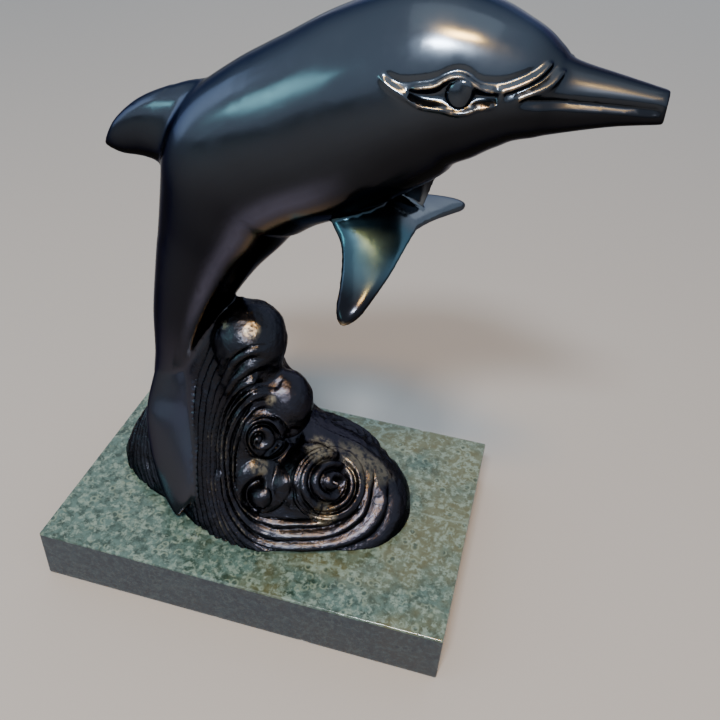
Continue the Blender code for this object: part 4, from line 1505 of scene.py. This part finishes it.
@dataclass(frozen=True)
class MarbleFinish:
    """Polished green serpentine: a mottled ground with olive patches, dark cells in pale rings, pale
    flecks and a few veins, and painted shade that darkens the sides."""

    name: str = "green_marble"
    deep: Colour = (0.009, 0.019, 0.015)
    ground: Colour = (0.034, 0.062, 0.058)
    pale: Colour = (0.095, 0.135, 0.120)
    ring: Colour = (0.085, 0.115, 0.09)
    olive: Colour = (0.054, 0.053, 0.023)
    # Painted shade on the sides of the slab.
    sawn: Colour = (0.003, 0.006, 0.017)
    sawn_share: float = 0.8
    sawn_below: Pair = (0.0214, 0.0208)
    roughness: Pair = (0.10, 0.22)
    coat: float = 0.12
    coat_roughness: float = 0.06
    gloss: float = 0.4
    bend_scale: float = 220.0
    bend: float = 0.004
    cell_bend: float = 0.3
    broad_scale: float = 38.0
    cloud_scale: float = 280.0
    ground_clouds: Pair = (0.36, 0.62)
    olive_lean: float = 2.0
    olive_patches: Pair = (0.48, 0.70)
    olive_share: float = 0.65
    cell_scale: float = 300.0
    cell_choice_scale: float = 130.0
    cell_choice: Pair = (0.5, 0.6)
    ring_inside: Pair = (0.26, 0.38)
    ring_outside: Pair = (0.52, 0.42)
    ring_share: float = 0.6
    core_reach: Pair = (0.3, 0.2)
    core_share: float = 0.7
    fleck_scale: float = 480.0
    flecks: Pair = (0.47, 0.64)
    fleck_share: float = 0.7
    vein_scale: float = 34.0
    vein_width: Pair = (0.035, 0.0)
    vein_patches: Pair = (0.45, 0.6)
    vein_share: float = 0.5
    dull_clouds: Pair = (0.3, 0.7)
    polish_scale: float = 800.0
    polish_strength: float = 0.05
    polish_height: float = 0.0002

    def cells(self, sketch: MaterialSketch, colour: Socket, shift: Socket) -> Socket:
        """The colour with dark cells and their pale rings in it.

        Args:
            sketch: The material's nodes.
            colour: The colour under them.
            shift: How far the pattern is pushed at each place.

        Returns:
            The new colour's output.
        """
        centre = sketch.vector("ADD", sketch.place, sketch.times(shift, self.cell_bend))
        cell = sketch.cells(centre, self.cell_scale)
        chosen = sketch.noise(sketch.place, self.cell_choice_scale, detail=2.0, seed=3.0)
        chosen = sketch.step(chosen, *self.cell_choice)
        rim = sketch.product(sketch.step(cell, *self.ring_inside), sketch.step(cell, *self.ring_outside))
        core = sketch.step(cell, *self.core_reach)
        for part, share, tone in ((core, self.core_share, self.deep), (rim, self.ring_share, self.ring)):
            colour = sketch.blend(sketch.product(part, sketch.product(chosen, share)), colour, tone)
        return colour

    def make(self) -> Material:
        """The material.

        Returns:
            The finished material.
        """
        sketch = MaterialSketch(self.name)
        place = sketch.place
        waver = sketch.add("ShaderNodeTexNoise", {"Vector": place, "Scale": self.bend_scale, "Detail": 3.0})
        shift = sketch.times(sketch.vector("SUBTRACT", waver.outputs["Color"], (HALF,) * 3), self.bend)
        bent = sketch.vector("ADD", place, shift)
        broad = sketch.noise(place, self.broad_scale, detail=4.0, seed=1.0, roughness=0.6)
        cloud = sketch.noise(bent, self.cloud_scale, detail=5.0, seed=2.0, roughness=0.68)
        axes = sketch.add("ShaderNodeSeparateXYZ", {0: place}).outputs
        leant = sketch.math("ADD", broad, sketch.product(axes["X"], self.olive_lean))
        colour = sketch.blend(sketch.step(cloud, *self.ground_clouds), self.deep, self.ground)
        colour = sketch.tint(sketch.step(leant, *self.olive_patches), self.olive_share, colour, self.olive)
        colour = self.cells(sketch, colour, shift)
        fleck = sketch.noise(place, self.fleck_scale, detail=4.0, seed=5.0, roughness=0.65)
        veins = sketch.cells(bent, self.vein_scale, "DISTANCE_TO_EDGE")
        vein = sketch.product(sketch.step(veins, *self.vein_width), sketch.step(broad, *self.vein_patches))
        colour = sketch.tint(sketch.step(fleck, *self.flecks), self.fleck_share, colour, self.pale)
        colour = sketch.tint(vein, self.vein_share, colour, self.pale)
        # Painted shade: the sides, below the top face, are darker.
        colour = sketch.tint(sketch.step(axes["Z"], *self.sawn_below), self.sawn_share, colour, self.sawn)
        polish = sketch.noise(place, self.polish_scale, detail=2.0, seed=6.0)
        return sketch.dress({
            "Base Color": colour,
            "Roughness": sketch.step(cloud, *self.dull_clouds, *self.roughness),
            "Normal": sketch.bump(self.polish_strength, self.polish_height, polish),
            "Specular IOR Level": self.gloss,
            "Coat Weight": self.coat,
            "Coat Roughness": self.coat_roughness,
        })


@dataclass(frozen=True)
class RibCarver:
    """Cuts the ribs of the wave and gives its skin the grain of a casting."""

    strands_per_rib: float = 3.0
    crest_power: float = 1.1
    waver: float = 0.09
    waver_scale: float = 0.16
    grain_depth: float = 0.14
    grain_scale: float = 1.1
    dent_depth: float = 1.3
    dent_scale: float = 0.2
    seed: float = 7.0

    def ridge(self, form: FormTree, turn: Socket, crest_power: Socket) -> Socket:
        """Height of ribs below their crests, from -1 in a groove to 0 on a crest.

        Args:
            form: The tree.
            turn: Place across the ribs, in turns.
            crest_power: How round the crests are.

        Returns:
            The height's output.
        """
        sketch = form.sketch
        round_rib = sketch.math("ABSOLUTE", sketch.math("COSINE", sketch.product(turn, math.pi)))
        return sketch.math("SUBTRACT", sketch.math("POWER", round_rib, crest_power), 1.0)

    def run(self, obj: Object, material: Material) -> None:
        """Builds the tree, with an input for each value named above, and runs it on the casting.

        Args:
            obj: The casting.
            material: The finish of the casting.
        """
        named = {name.replace("_", " ").capitalize(): value for name, value in vars(self).items()}
        form = FormTree("rib carving", {**named, "Material": material})
        sketch, inputs = form.sketch, form.inputs
        place = sketch.add("GeometryNodeInputPosition").outputs[0]
        normal = sketch.add("GeometryNodeInputNormal").outputs[0]
        seed, crest = inputs["Seed"], inputs["Crest power"]
        drift = sketch.sway(inputs["Waver"], place, inputs["Waver scale"], detail=2.0, seed=seed)
        turn = sketch.math("ADD", form.kept("turn"), drift)
        fine_turn = sketch.product(turn, inputs["Strands per rib"])
        rib = sketch.product(self.ridge(form, turn, crest), form.kept("rib_depth"))
        strand = sketch.product(self.ridge(form, fine_turn, crest), form.kept("strand_depth"))
        grain_size = inputs["Grain scale"]
        grain = sketch.sway(inputs["Grain depth"], place, grain_size, detail=3.0, seed=seed, roughness=0.6)
        dent = sketch.sway(inputs["Dent depth"], place, inputs["Dent scale"], detail=2.0, seed=seed)
        rough = sketch.product(sketch.math("ADD", grain, dent), form.kept("cast"))
        carved = sketch.math("ADD", form.kept("rise"), rib)
        rise = sketch.math("ADD", carved, sketch.math("ADD", strand, rough))
        values = {"Geometry": inputs["Geometry"], "Offset": sketch.times(normal, rise)}
        form.close(sketch.add("GeometryNodeSetPosition", values).outputs[0])
        form.run(obj)


@dataclass(frozen=True)
class DolphinAndWave:
    """The casting: dolphin and wave in one skin."""

    name: str = "dolphin_and_wave"
    dolphin: DolphinForm = DolphinForm()
    wave: WaveForm = WaveForm()
    relief: WaveRelief = WaveRelief()
    carver: RibCarver = RibCarver()
    finish: BronzeFinish = BronzeFinish()
    fillet_reach: float = 1.1
    melt_reach: float = 1.85
    melt_near: Pair = (1.45, 1.25)
    wave_top: float = 88.0
    wave_top_fade: float = 3.0
    stock_up_to: float = 125.0
    melt_from: float = 0.5
    fine_from: float = 0.02
    margin: float = 1.2
    margin_fade: Pair = (1.0, 1.2)
    wear_passes: int = 4
    worn_bend: Pair = (0.3, 1.0)
    hollow_bend: Pair = (0.15, 0.9)

    def off_stock(self, own: Array) -> Array:
        """0 on the stock of the tail, 1 away from it.

        Args:
            own: Points in the dolphin's own frame.

        Returns:
            The share at each point.
        """
        rows = [row for row in self.dolphin.sections if row[1] < self.stock_up_to]
        nearest = np.full(len(own), np.inf)
        for forward, up, depth, width in smooth_line(rows):
            away = ((own[:, 0] - forward) / (depth + self.margin)) ** 2
            away += (own[:, 1] / (width + self.margin)) ** 2
            away += ((own[:, 2] - up) / (depth + self.margin)) ** 2
            nearest = np.minimum(nearest, away)
        return fade(np.sqrt(nearest), *self.margin_fade)

    def off_fin(self, own: Array, fin: Fin) -> Array:
        """0 on the blade of a fin, 1 away from it.

        Args:
            own: Points in the dolphin's own frame.
            fin: The fin.

        Returns:
            The share at each point.
        """
        frames = self.dolphin.fin_frames(fin)
        spacing = np.linalg.norm(frames[1][0] - frames[0][0]) + self.margin
        nearest = np.full(len(own), np.inf)
        for middle, chord, across, half in frames:
            width = np.linalg.norm(chord)
            offset = own - middle
            wide, thick = offset @ (chord / width), offset @ across
            rest = np.maximum(np.sum(offset**2, axis=1) - wide**2 - thick**2, 0)
            away = (wide / (width + self.margin)) ** 2 + (thick / (half + self.margin)) ** 2
            nearest = np.minimum(nearest, away + rest / spacing**2)
        return fade(np.sqrt(nearest), *self.margin_fade)

    def wave_share(self, points: Array) -> Array:
        """1 on the wave, 0 on the tail, its flukes and everything above the wave.

        Args:
            points: Points of the skin.

        Returns:
            The share at each point.
        """
        share = fade(self.wave_top - points[:, 2], 0, self.wave_top_fade)
        low = np.flatnonzero(share > 0)
        own = self.dolphin.plane.inwards(points[low])
        part = self.off_stock(own)
        for fluke in (self.dolphin.fluke, self.dolphin.fluke.mirrored()):
            part *= self.off_fin(own, fluke)
        share[low] *= part
        return share

    def fused(self, voxel: float) -> Object:
        """One closed skin round all the forms, with small fillets where they meet.

        Args:
            voxel: Cell of the skin.

        Returns:
            The object with that skin.
        """
        whole = bpy.data.meshes.new(self.name)
        with edited(whole) as made:
            for mesh in self.dolphin.meshes() + self.wave.meshes():
                made.from_mesh(mesh)
                bpy.data.meshes.remove(mesh)
            bmesh.ops.recalc_face_normals(made, faces=made.faces)
        obj = in_scene(self.name, whole)
        remesh = obj.modifiers.new("one skin", "REMESH")
        remesh.mode = "VOXEL"
        remesh.voxel_size = voxel
        smooth = obj.modifiers.new("fillets", "SMOOTH")
        smooth.factor = SMOOTHING
        smooth.iterations = round(2 * (self.fillet_reach / voxel) ** 2)
        settle(obj)
        return obj

    def melting(self, points: Array) -> list[tuple[Array, float]]:
        """Which points are smoothed, round by round, and how far: the fin's root, then the crests.

        Args:
            points: Points of the skin.

        Returns:
            For each round, the points that are smoothed and their reach.
        """
        high = points[:, 2] > self.dolphin.fin_root_height
        rounds = [(high & self.dolphin.at_fin_root(points), self.dolphin.fin_root_reach)]
        on_wave = self.wave_share(points) > self.melt_from
        for reach in self.melt_near:
            near = np.zeros(len(points), bool)
            for lump in self.wave.crests:
                away = np.linalg.norm((points - np.array(lump.centre)) / np.array(lump.radii), axis=1)
                near |= away < reach
            rounds.append((near & on_wave, self.melt_reach))
        return rounds

    def melt(self, mesh: Mesh, voxel: float) -> None:
        """Smooths the fin into the back, and the crests of the wave into each other.

        Args:
            mesh: The mesh of the casting.
            voxel: Cell of the skin.
        """
        points, _ = skin(mesh)
        every_way = {f"use_axis_{axis}": True for axis in "xyz"}
        with edited(mesh) as made:
            made.verts.ensure_lookup_table()
            for chosen, reach in self.melting(points):
                soft = [made.verts[int(number)] for number in np.flatnonzero(chosen)]
                for _ in range(round(2 * (reach / voxel) ** 2)):
                    bmesh.ops.smooth_vert(made, verts=soft, factor=SMOOTHING, **every_way)

    def refine(self, mesh: Mesh, cuts: int) -> None:
        """Cuts the faces of the wave and round the eye smaller, for their finer carving.

        Args:
            mesh: The mesh of the casting.
            cuts: Cuts of each edge.
        """
        points, _ = skin(mesh)
        fine = (self.wave_share(points) > self.fine_from) | self.dolphin.by_the_eye(points)
        with edited(mesh) as made:
            edges = [edge for edge in made.edges if any(fine[vert.index] for vert in edge.verts)]
            bmesh.ops.subdivide_edges(made, edges=edges, cuts=cuts, use_grid_fill=True, smooth=0.0)

    def lay_out(self, mesh: Mesh) -> None:
        """Keeps on the mesh what is carved at each point, and which part of the finish is there.

        Args:
            mesh: The mesh of the casting.
        """
        points, normals = skin(mesh)
        share = self.wave_share(points)
        on_wave = np.flatnonzero(share > 0)
        carving = Carving.blank(len(points))
        carving.put(on_wave, self.relief.carve(points[on_wave], normals[on_wave]).scaled(share[on_wave]))
        carving.rise += self.dolphin.head_rise(points, normals) * (1 - share)
        for name in CARVED:
            keep(mesh, name, getattr(carving, name))
        keep(mesh, "cast", share)
        # Painted glints and painted sheen, partly wear, in a few places of the wave's front.
        keep(mesh, "rubbed", self.relief.rubbed_share(points, normals) * share)
        # Painted light and shade of the dolphin's skin.
        for name, part in self.dolphin.patina(points, normals).items():
            keep(mesh, name, part * (1 - share))

    def thin(self, obj: Object, triangles: int) -> None:
        """Leaves about this many triangles, kept where the form needs them.

        Args:
            obj: The casting.
            triangles: How many triangles stay.
        """
        decimate = obj.modifiers.new("facets", "DECIMATE")
        decimate.ratio = min(1.0, triangles / triangles_of(obj.data))
        settle(obj)

    def cut_flat(self, mesh: Mesh) -> None:
        """Cuts the foot flat at height 0 and closes it.

        Args:
            mesh: The mesh of the casting.
        """
        with edited(mesh) as made:
            everything = list(made.verts) + list(made.edges) + list(made.faces)
            cut = bmesh.ops.bisect_plane(
                made, geom=everything, plane_co=(0, 0, 0), plane_no=(0, 0, 1), clear_inner=True
            )
            rim = [item for item in cut["geom_cut"] if isinstance(item, bmesh.types.BMEdge)]
            bmesh.ops.triangle_fill(made, use_beauty=True, use_dissolve=False, edges=rim)
            bmesh.ops.recalc_face_normals(made, faces=made.faces)

    def fit(self, mesh: Mesh) -> None:
        """Fits the figure from its grid to the box of its solid, in metres.

        Args:
            mesh: The mesh of the casting.
        """
        points, _ = skin(mesh)
        low, high = points.min(axis=0), points.max(axis=0)
        node_low, node_high = (np.array(corner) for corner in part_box(CASTING_NODE))
        fitted = node_low + (points - low) / (high - low) * (node_high - node_low)
        mesh.vertices.foreach_set("co", fitted.astype(np.float32).ravel())
        mesh.update()

    def mark_wear(self, mesh: Mesh) -> None:
        """Keeps where the skin stands out and wears bare, and where it is hollow and gathers dirt.

        Args:
            mesh: The mesh of the casting.
        """
        points, normals = skin(mesh)
        edges = np.empty(len(mesh.edges) * 2, np.int32)
        mesh.edges.foreach_get("vertices", edges)
        one, other = edges.reshape(-1, 2).T
        ends, starts = np.concatenate([one, other]), np.concatenate([other, one])
        count = np.maximum(np.bincount(ends, minlength=len(points)), 1)

        def mean(values: Array) -> Array:
            """Mean at each point of what is given for its edges."""
            return np.bincount(ends, values, len(points)) / count

        pull = np.stack([mean(points[starts, axis]) for axis in range(3)], axis=-1) - points
        spacing = np.maximum(mean(np.sum((points[ends] - points[starts]) ** 2, axis=1)), MICRON**2)
        bend = -2 * np.sum(pull * normals, axis=1) / spacing / MM_PER_M
        for _ in range(self.wear_passes):
            bend = (bend + mean(bend[starts])) / 2
        keep(mesh, "worn", fade(bend, *self.worn_bend))
        keep(mesh, "hollow", fade(-bend, *self.hollow_bend))

    def build(self, detail: Detail) -> Object:
        """Builds, carves and dresses the casting.

        Args:
            detail: How finely it is worked.

        Returns:
            The finished piece, riding on its body.
        """
        voxel, cuts, triangles = detail.value
        obj = self.fused(voxel)
        self.melt(obj.data, voxel)
        if cuts:
            self.refine(obj.data, cuts)
        self.lay_out(obj.data)
        self.carver.run(obj, self.finish.make())
        self.thin(obj, triangles)
        self.cut_flat(obj.data)
        self.fit(obj.data)
        self.mark_wear(obj.data)
        obj.data.shade_smooth()
        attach(obj, BODY)
        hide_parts(CASTING_NODE)
        return obj


@dataclass(frozen=True)
class MarbleSlab:
    """The slab: a block with eased edges, its arrises worn and nicked here and there."""

    name: str = "marble_slab"
    finish: MarbleFinish = MarbleFinish()
    spacing: float = 0.0011
    crowding: float = 1.7
    arris: float = 0.0006
    nick: float = 0.0009
    nick_scale: float = 210.0
    nick_from: float = 0.63
    nick_ramp: float = 0.1
    seed: float = 3.0

    def shaped(self, form: FormTree) -> Socket:
        """The block's points, moved to the round edges.

        Args:
            form: The tree.

        Returns:
            The place of each point.
        """
        sketch, inputs = form.sketch, form.inputs
        half = sketch.times(inputs["Size"], 0.5)
        corner = sketch.add("GeometryNodeInputPosition").outputs[0]
        size = sketch.vector("ABSOLUTE", corner)
        inner = sketch.vector("SUBTRACT", (1.0, 1.0, 1.0), size)
        crowd = sketch.add("ShaderNodeSeparateXYZ", {0: inner}).outputs
        powers = [sketch.math("POWER", axis, inputs["Crowding"]) for axis in crowd]
        drawn = sketch.add("ShaderNodeCombineXYZ", dict(enumerate(powers))).outputs[0]
        outer = sketch.vector("SUBTRACT", (1.0, 1.0, 1.0), drawn)
        spread = sketch.vector("MULTIPLY", outer, sketch.vector("SIGN", corner))
        place = sketch.vector("MULTIPLY", spread, half)
        rough = sketch.noise(place, inputs["Nick scale"], detail=2.0, seed=inputs["Seed"])
        nicked = sketch.step(rough, self.nick_from, self.nick_from + self.nick_ramp)
        radius = sketch.math("ADD", inputs["Arris"], sketch.product(nicked, inputs["Nick"]))
        room = sketch.add("ShaderNodeCombineXYZ", {0: radius, 1: radius, 2: radius}).outputs[0]
        kept = sketch.vector("SUBTRACT", half, room)
        core = sketch.vector("MINIMUM", sketch.vector("MAXIMUM", place, sketch.times(kept, -1.0)), kept)
        out = sketch.vector("NORMALIZE", sketch.vector("SUBTRACT", place, core))
        return sketch.vector("ADD", core, sketch.times(out, radius))

    def build(self) -> Object:
        """Builds and dresses the slab, and has it stand for its solid.

        Returns:
            The finished piece, riding on its body.
        """
        low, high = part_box(SLAB_NODE)
        size = high - low
        form = FormTree("marble block", {
            "Size": tuple(size),
            "Middle": tuple((low + high) / 2),
            "Crowding": self.crowding,
            "Arris": self.arris,
            "Nick": self.nick,
            "Nick scale": self.nick_scale,
            "Seed": self.seed,
            "Material": self.finish.make(),
        })
        sketch, inputs = form.sketch, form.inputs
        counts = [math.ceil(side / self.spacing) for side in size]
        values = {"Size": (2.0, 2.0, 2.0), **dict(zip(("Vertices X", "Vertices Y", "Vertices Z"), counts))}
        block = sketch.add("GeometryNodeMeshCube", values).outputs["Mesh"]
        place = sketch.vector("ADD", self.shaped(form), inputs["Middle"])
        moved = sketch.add("GeometryNodeSetPosition", {"Geometry": block, "Position": place})
        form.close(moved.outputs[0])
        obj = in_scene(self.name, bpy.data.meshes.new(self.name))
        form.run(obj)
        obj.data.shade_smooth()
        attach(obj, BODY)
        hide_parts(SLAB_NODE)
        return obj


@dataclass(frozen=True)
class Softbox:
    """A soft lamp that faces the figure, by its direction from there in degrees."""

    name: str
    azimuth: float
    elevation: float
    distance: float
    size: Pair
    power: float
    colour: Colour


def direction(azimuth: float, elevation: float) -> Vector:
    """The way to an azimuth and elevation in degrees. Azimuth 0 is towards -Y."""
    turn, lift = math.radians(azimuth), math.radians(elevation)
    return Vector((math.sin(turn) * math.cos(lift), -math.cos(turn) * math.cos(lift), math.sin(lift)))


@dataclass(frozen=True)
class Studio:
    """A plain pale floor, soft light and the camera at the viewpoint of the photograph."""

    camera_place: Triple = (0.07657, -0.20868, 0.25482)
    azimuth: float = 12.87
    elevation: float = 37.33
    roll: float = math.radians(3.89)
    focal_share: float = 799.7 / 720
    sensor: float = 36.0
    floor_half: float = 6.0
    floor_cells: int = 8
    floor_roughness: float = 0.7
    floor_colour: Colour = (0.18, 0.176, 0.172)
    sky: Colour = (0.74, 0.86, 1.0)
    sky_strength: float = 1.15
    aim: Triple = (0.0, 0.0, 0.10)
    lamps: tuple[Softbox, ...] = (
        Softbox("window", 1.0, 52.0, 1.1, (0.21, 0.12), 25.0, (0.88, 0.95, 1.0)),
        Softbox("window side", -62.0, 19.0, 1.5, (0.6, 0.22), 3.0, (0.40, 0.95, 0.90)),
        Softbox("far left", -100.0, 12.0, 1.8, (0.8, 0.9), 5.0, (0.62, 0.78, 1.0)),
        Softbox("warm lamp", 17.0, 65.0, 1.1, (0.20, 0.12), 18.0, (1.0, 0.52, 0.12)),
        Softbox("ceiling", 0.0, 89.0, 1.5, (1.2, 1.2), 3.5, (0.92, 1.0, 0.95)),
        Softbox("wall behind", 180.0, 18.0, 1.8, (2.0, 0.8), 6.0, (1.0, 0.98, 0.95)),
    )

    def camera(self) -> None:
        """Sets up the camera."""
        data = bpy.data.cameras.new("camera")
        data.sensor_width = self.sensor
        data.lens = self.focal_share * self.sensor
        obj = in_scene("camera", data)
        bpy.context.scene.camera = obj
        back = direction(self.azimuth, self.elevation)
        right = (-back).cross(Vector((0, 0, 1))).normalized()
        up = right.cross(-back)
        turned = math.cos(self.roll) * right + math.sin(self.roll) * up
        upright = math.cos(self.roll) * up - math.sin(self.roll) * right
        matrix = Matrix((turned, upright, back)).transposed().to_4x4()
        matrix.translation = self.camera_place
        obj.matrix_world = matrix

    def floor(self) -> None:
        """Lays the floor under the slab."""
        mesh = bpy.data.meshes.new("floor")
        with edited(mesh) as made:
            cells = self.floor_cells
            bmesh.ops.create_grid(made, x_segments=cells, y_segments=cells, size=self.floor_half)
        looks = {"Base Color": (*self.floor_colour, 1), "Roughness": self.floor_roughness}
        mesh.materials.append(MaterialSketch("pale_floor").dress(looks))
        in_scene("floor", mesh)

    def lights(self) -> None:
        """Hangs the soft lamps and sets the pale sky."""
        world = bpy.data.worlds.new("soft light")
        world.use_nodes = True
        sky = world.node_tree.nodes["Background"]
        sky.inputs["Color"].default_value = (*self.sky, 1)
        sky.inputs["Strength"].default_value = self.sky_strength
        bpy.context.scene.world = world
        for lamp in self.lamps:
            data = bpy.data.lights.new(lamp.name, "AREA")
            data.shape = "RECTANGLE"
            data.size, data.size_y = lamp.size
            data.energy = lamp.power
            data.color = lamp.colour
            away = direction(lamp.azimuth, lamp.elevation)
            obj = in_scene(lamp.name, data)
            obj.location = Vector(self.aim) + away * lamp.distance
            obj.rotation_euler = away.to_track_quat("Z", "Y").to_euler()

    def build(self) -> None:
        """Sets up camera, floor and light."""
        self.camera()
        self.floor()
        self.lights()


def main() -> None:
    """Builds the studio and the two pieces, and reports each of them."""
    logging.basicConfig(level=logging.INFO, format="%(name)s: %(message)s")
    Studio().build()
    detail = Detail.FULL
    for obj in (DolphinAndWave().build(detail), MarbleSlab().build()):
        report.info("%s has %d triangles", obj.name, triangles_of(obj.data))


if __name__ == "__main__":
    main()
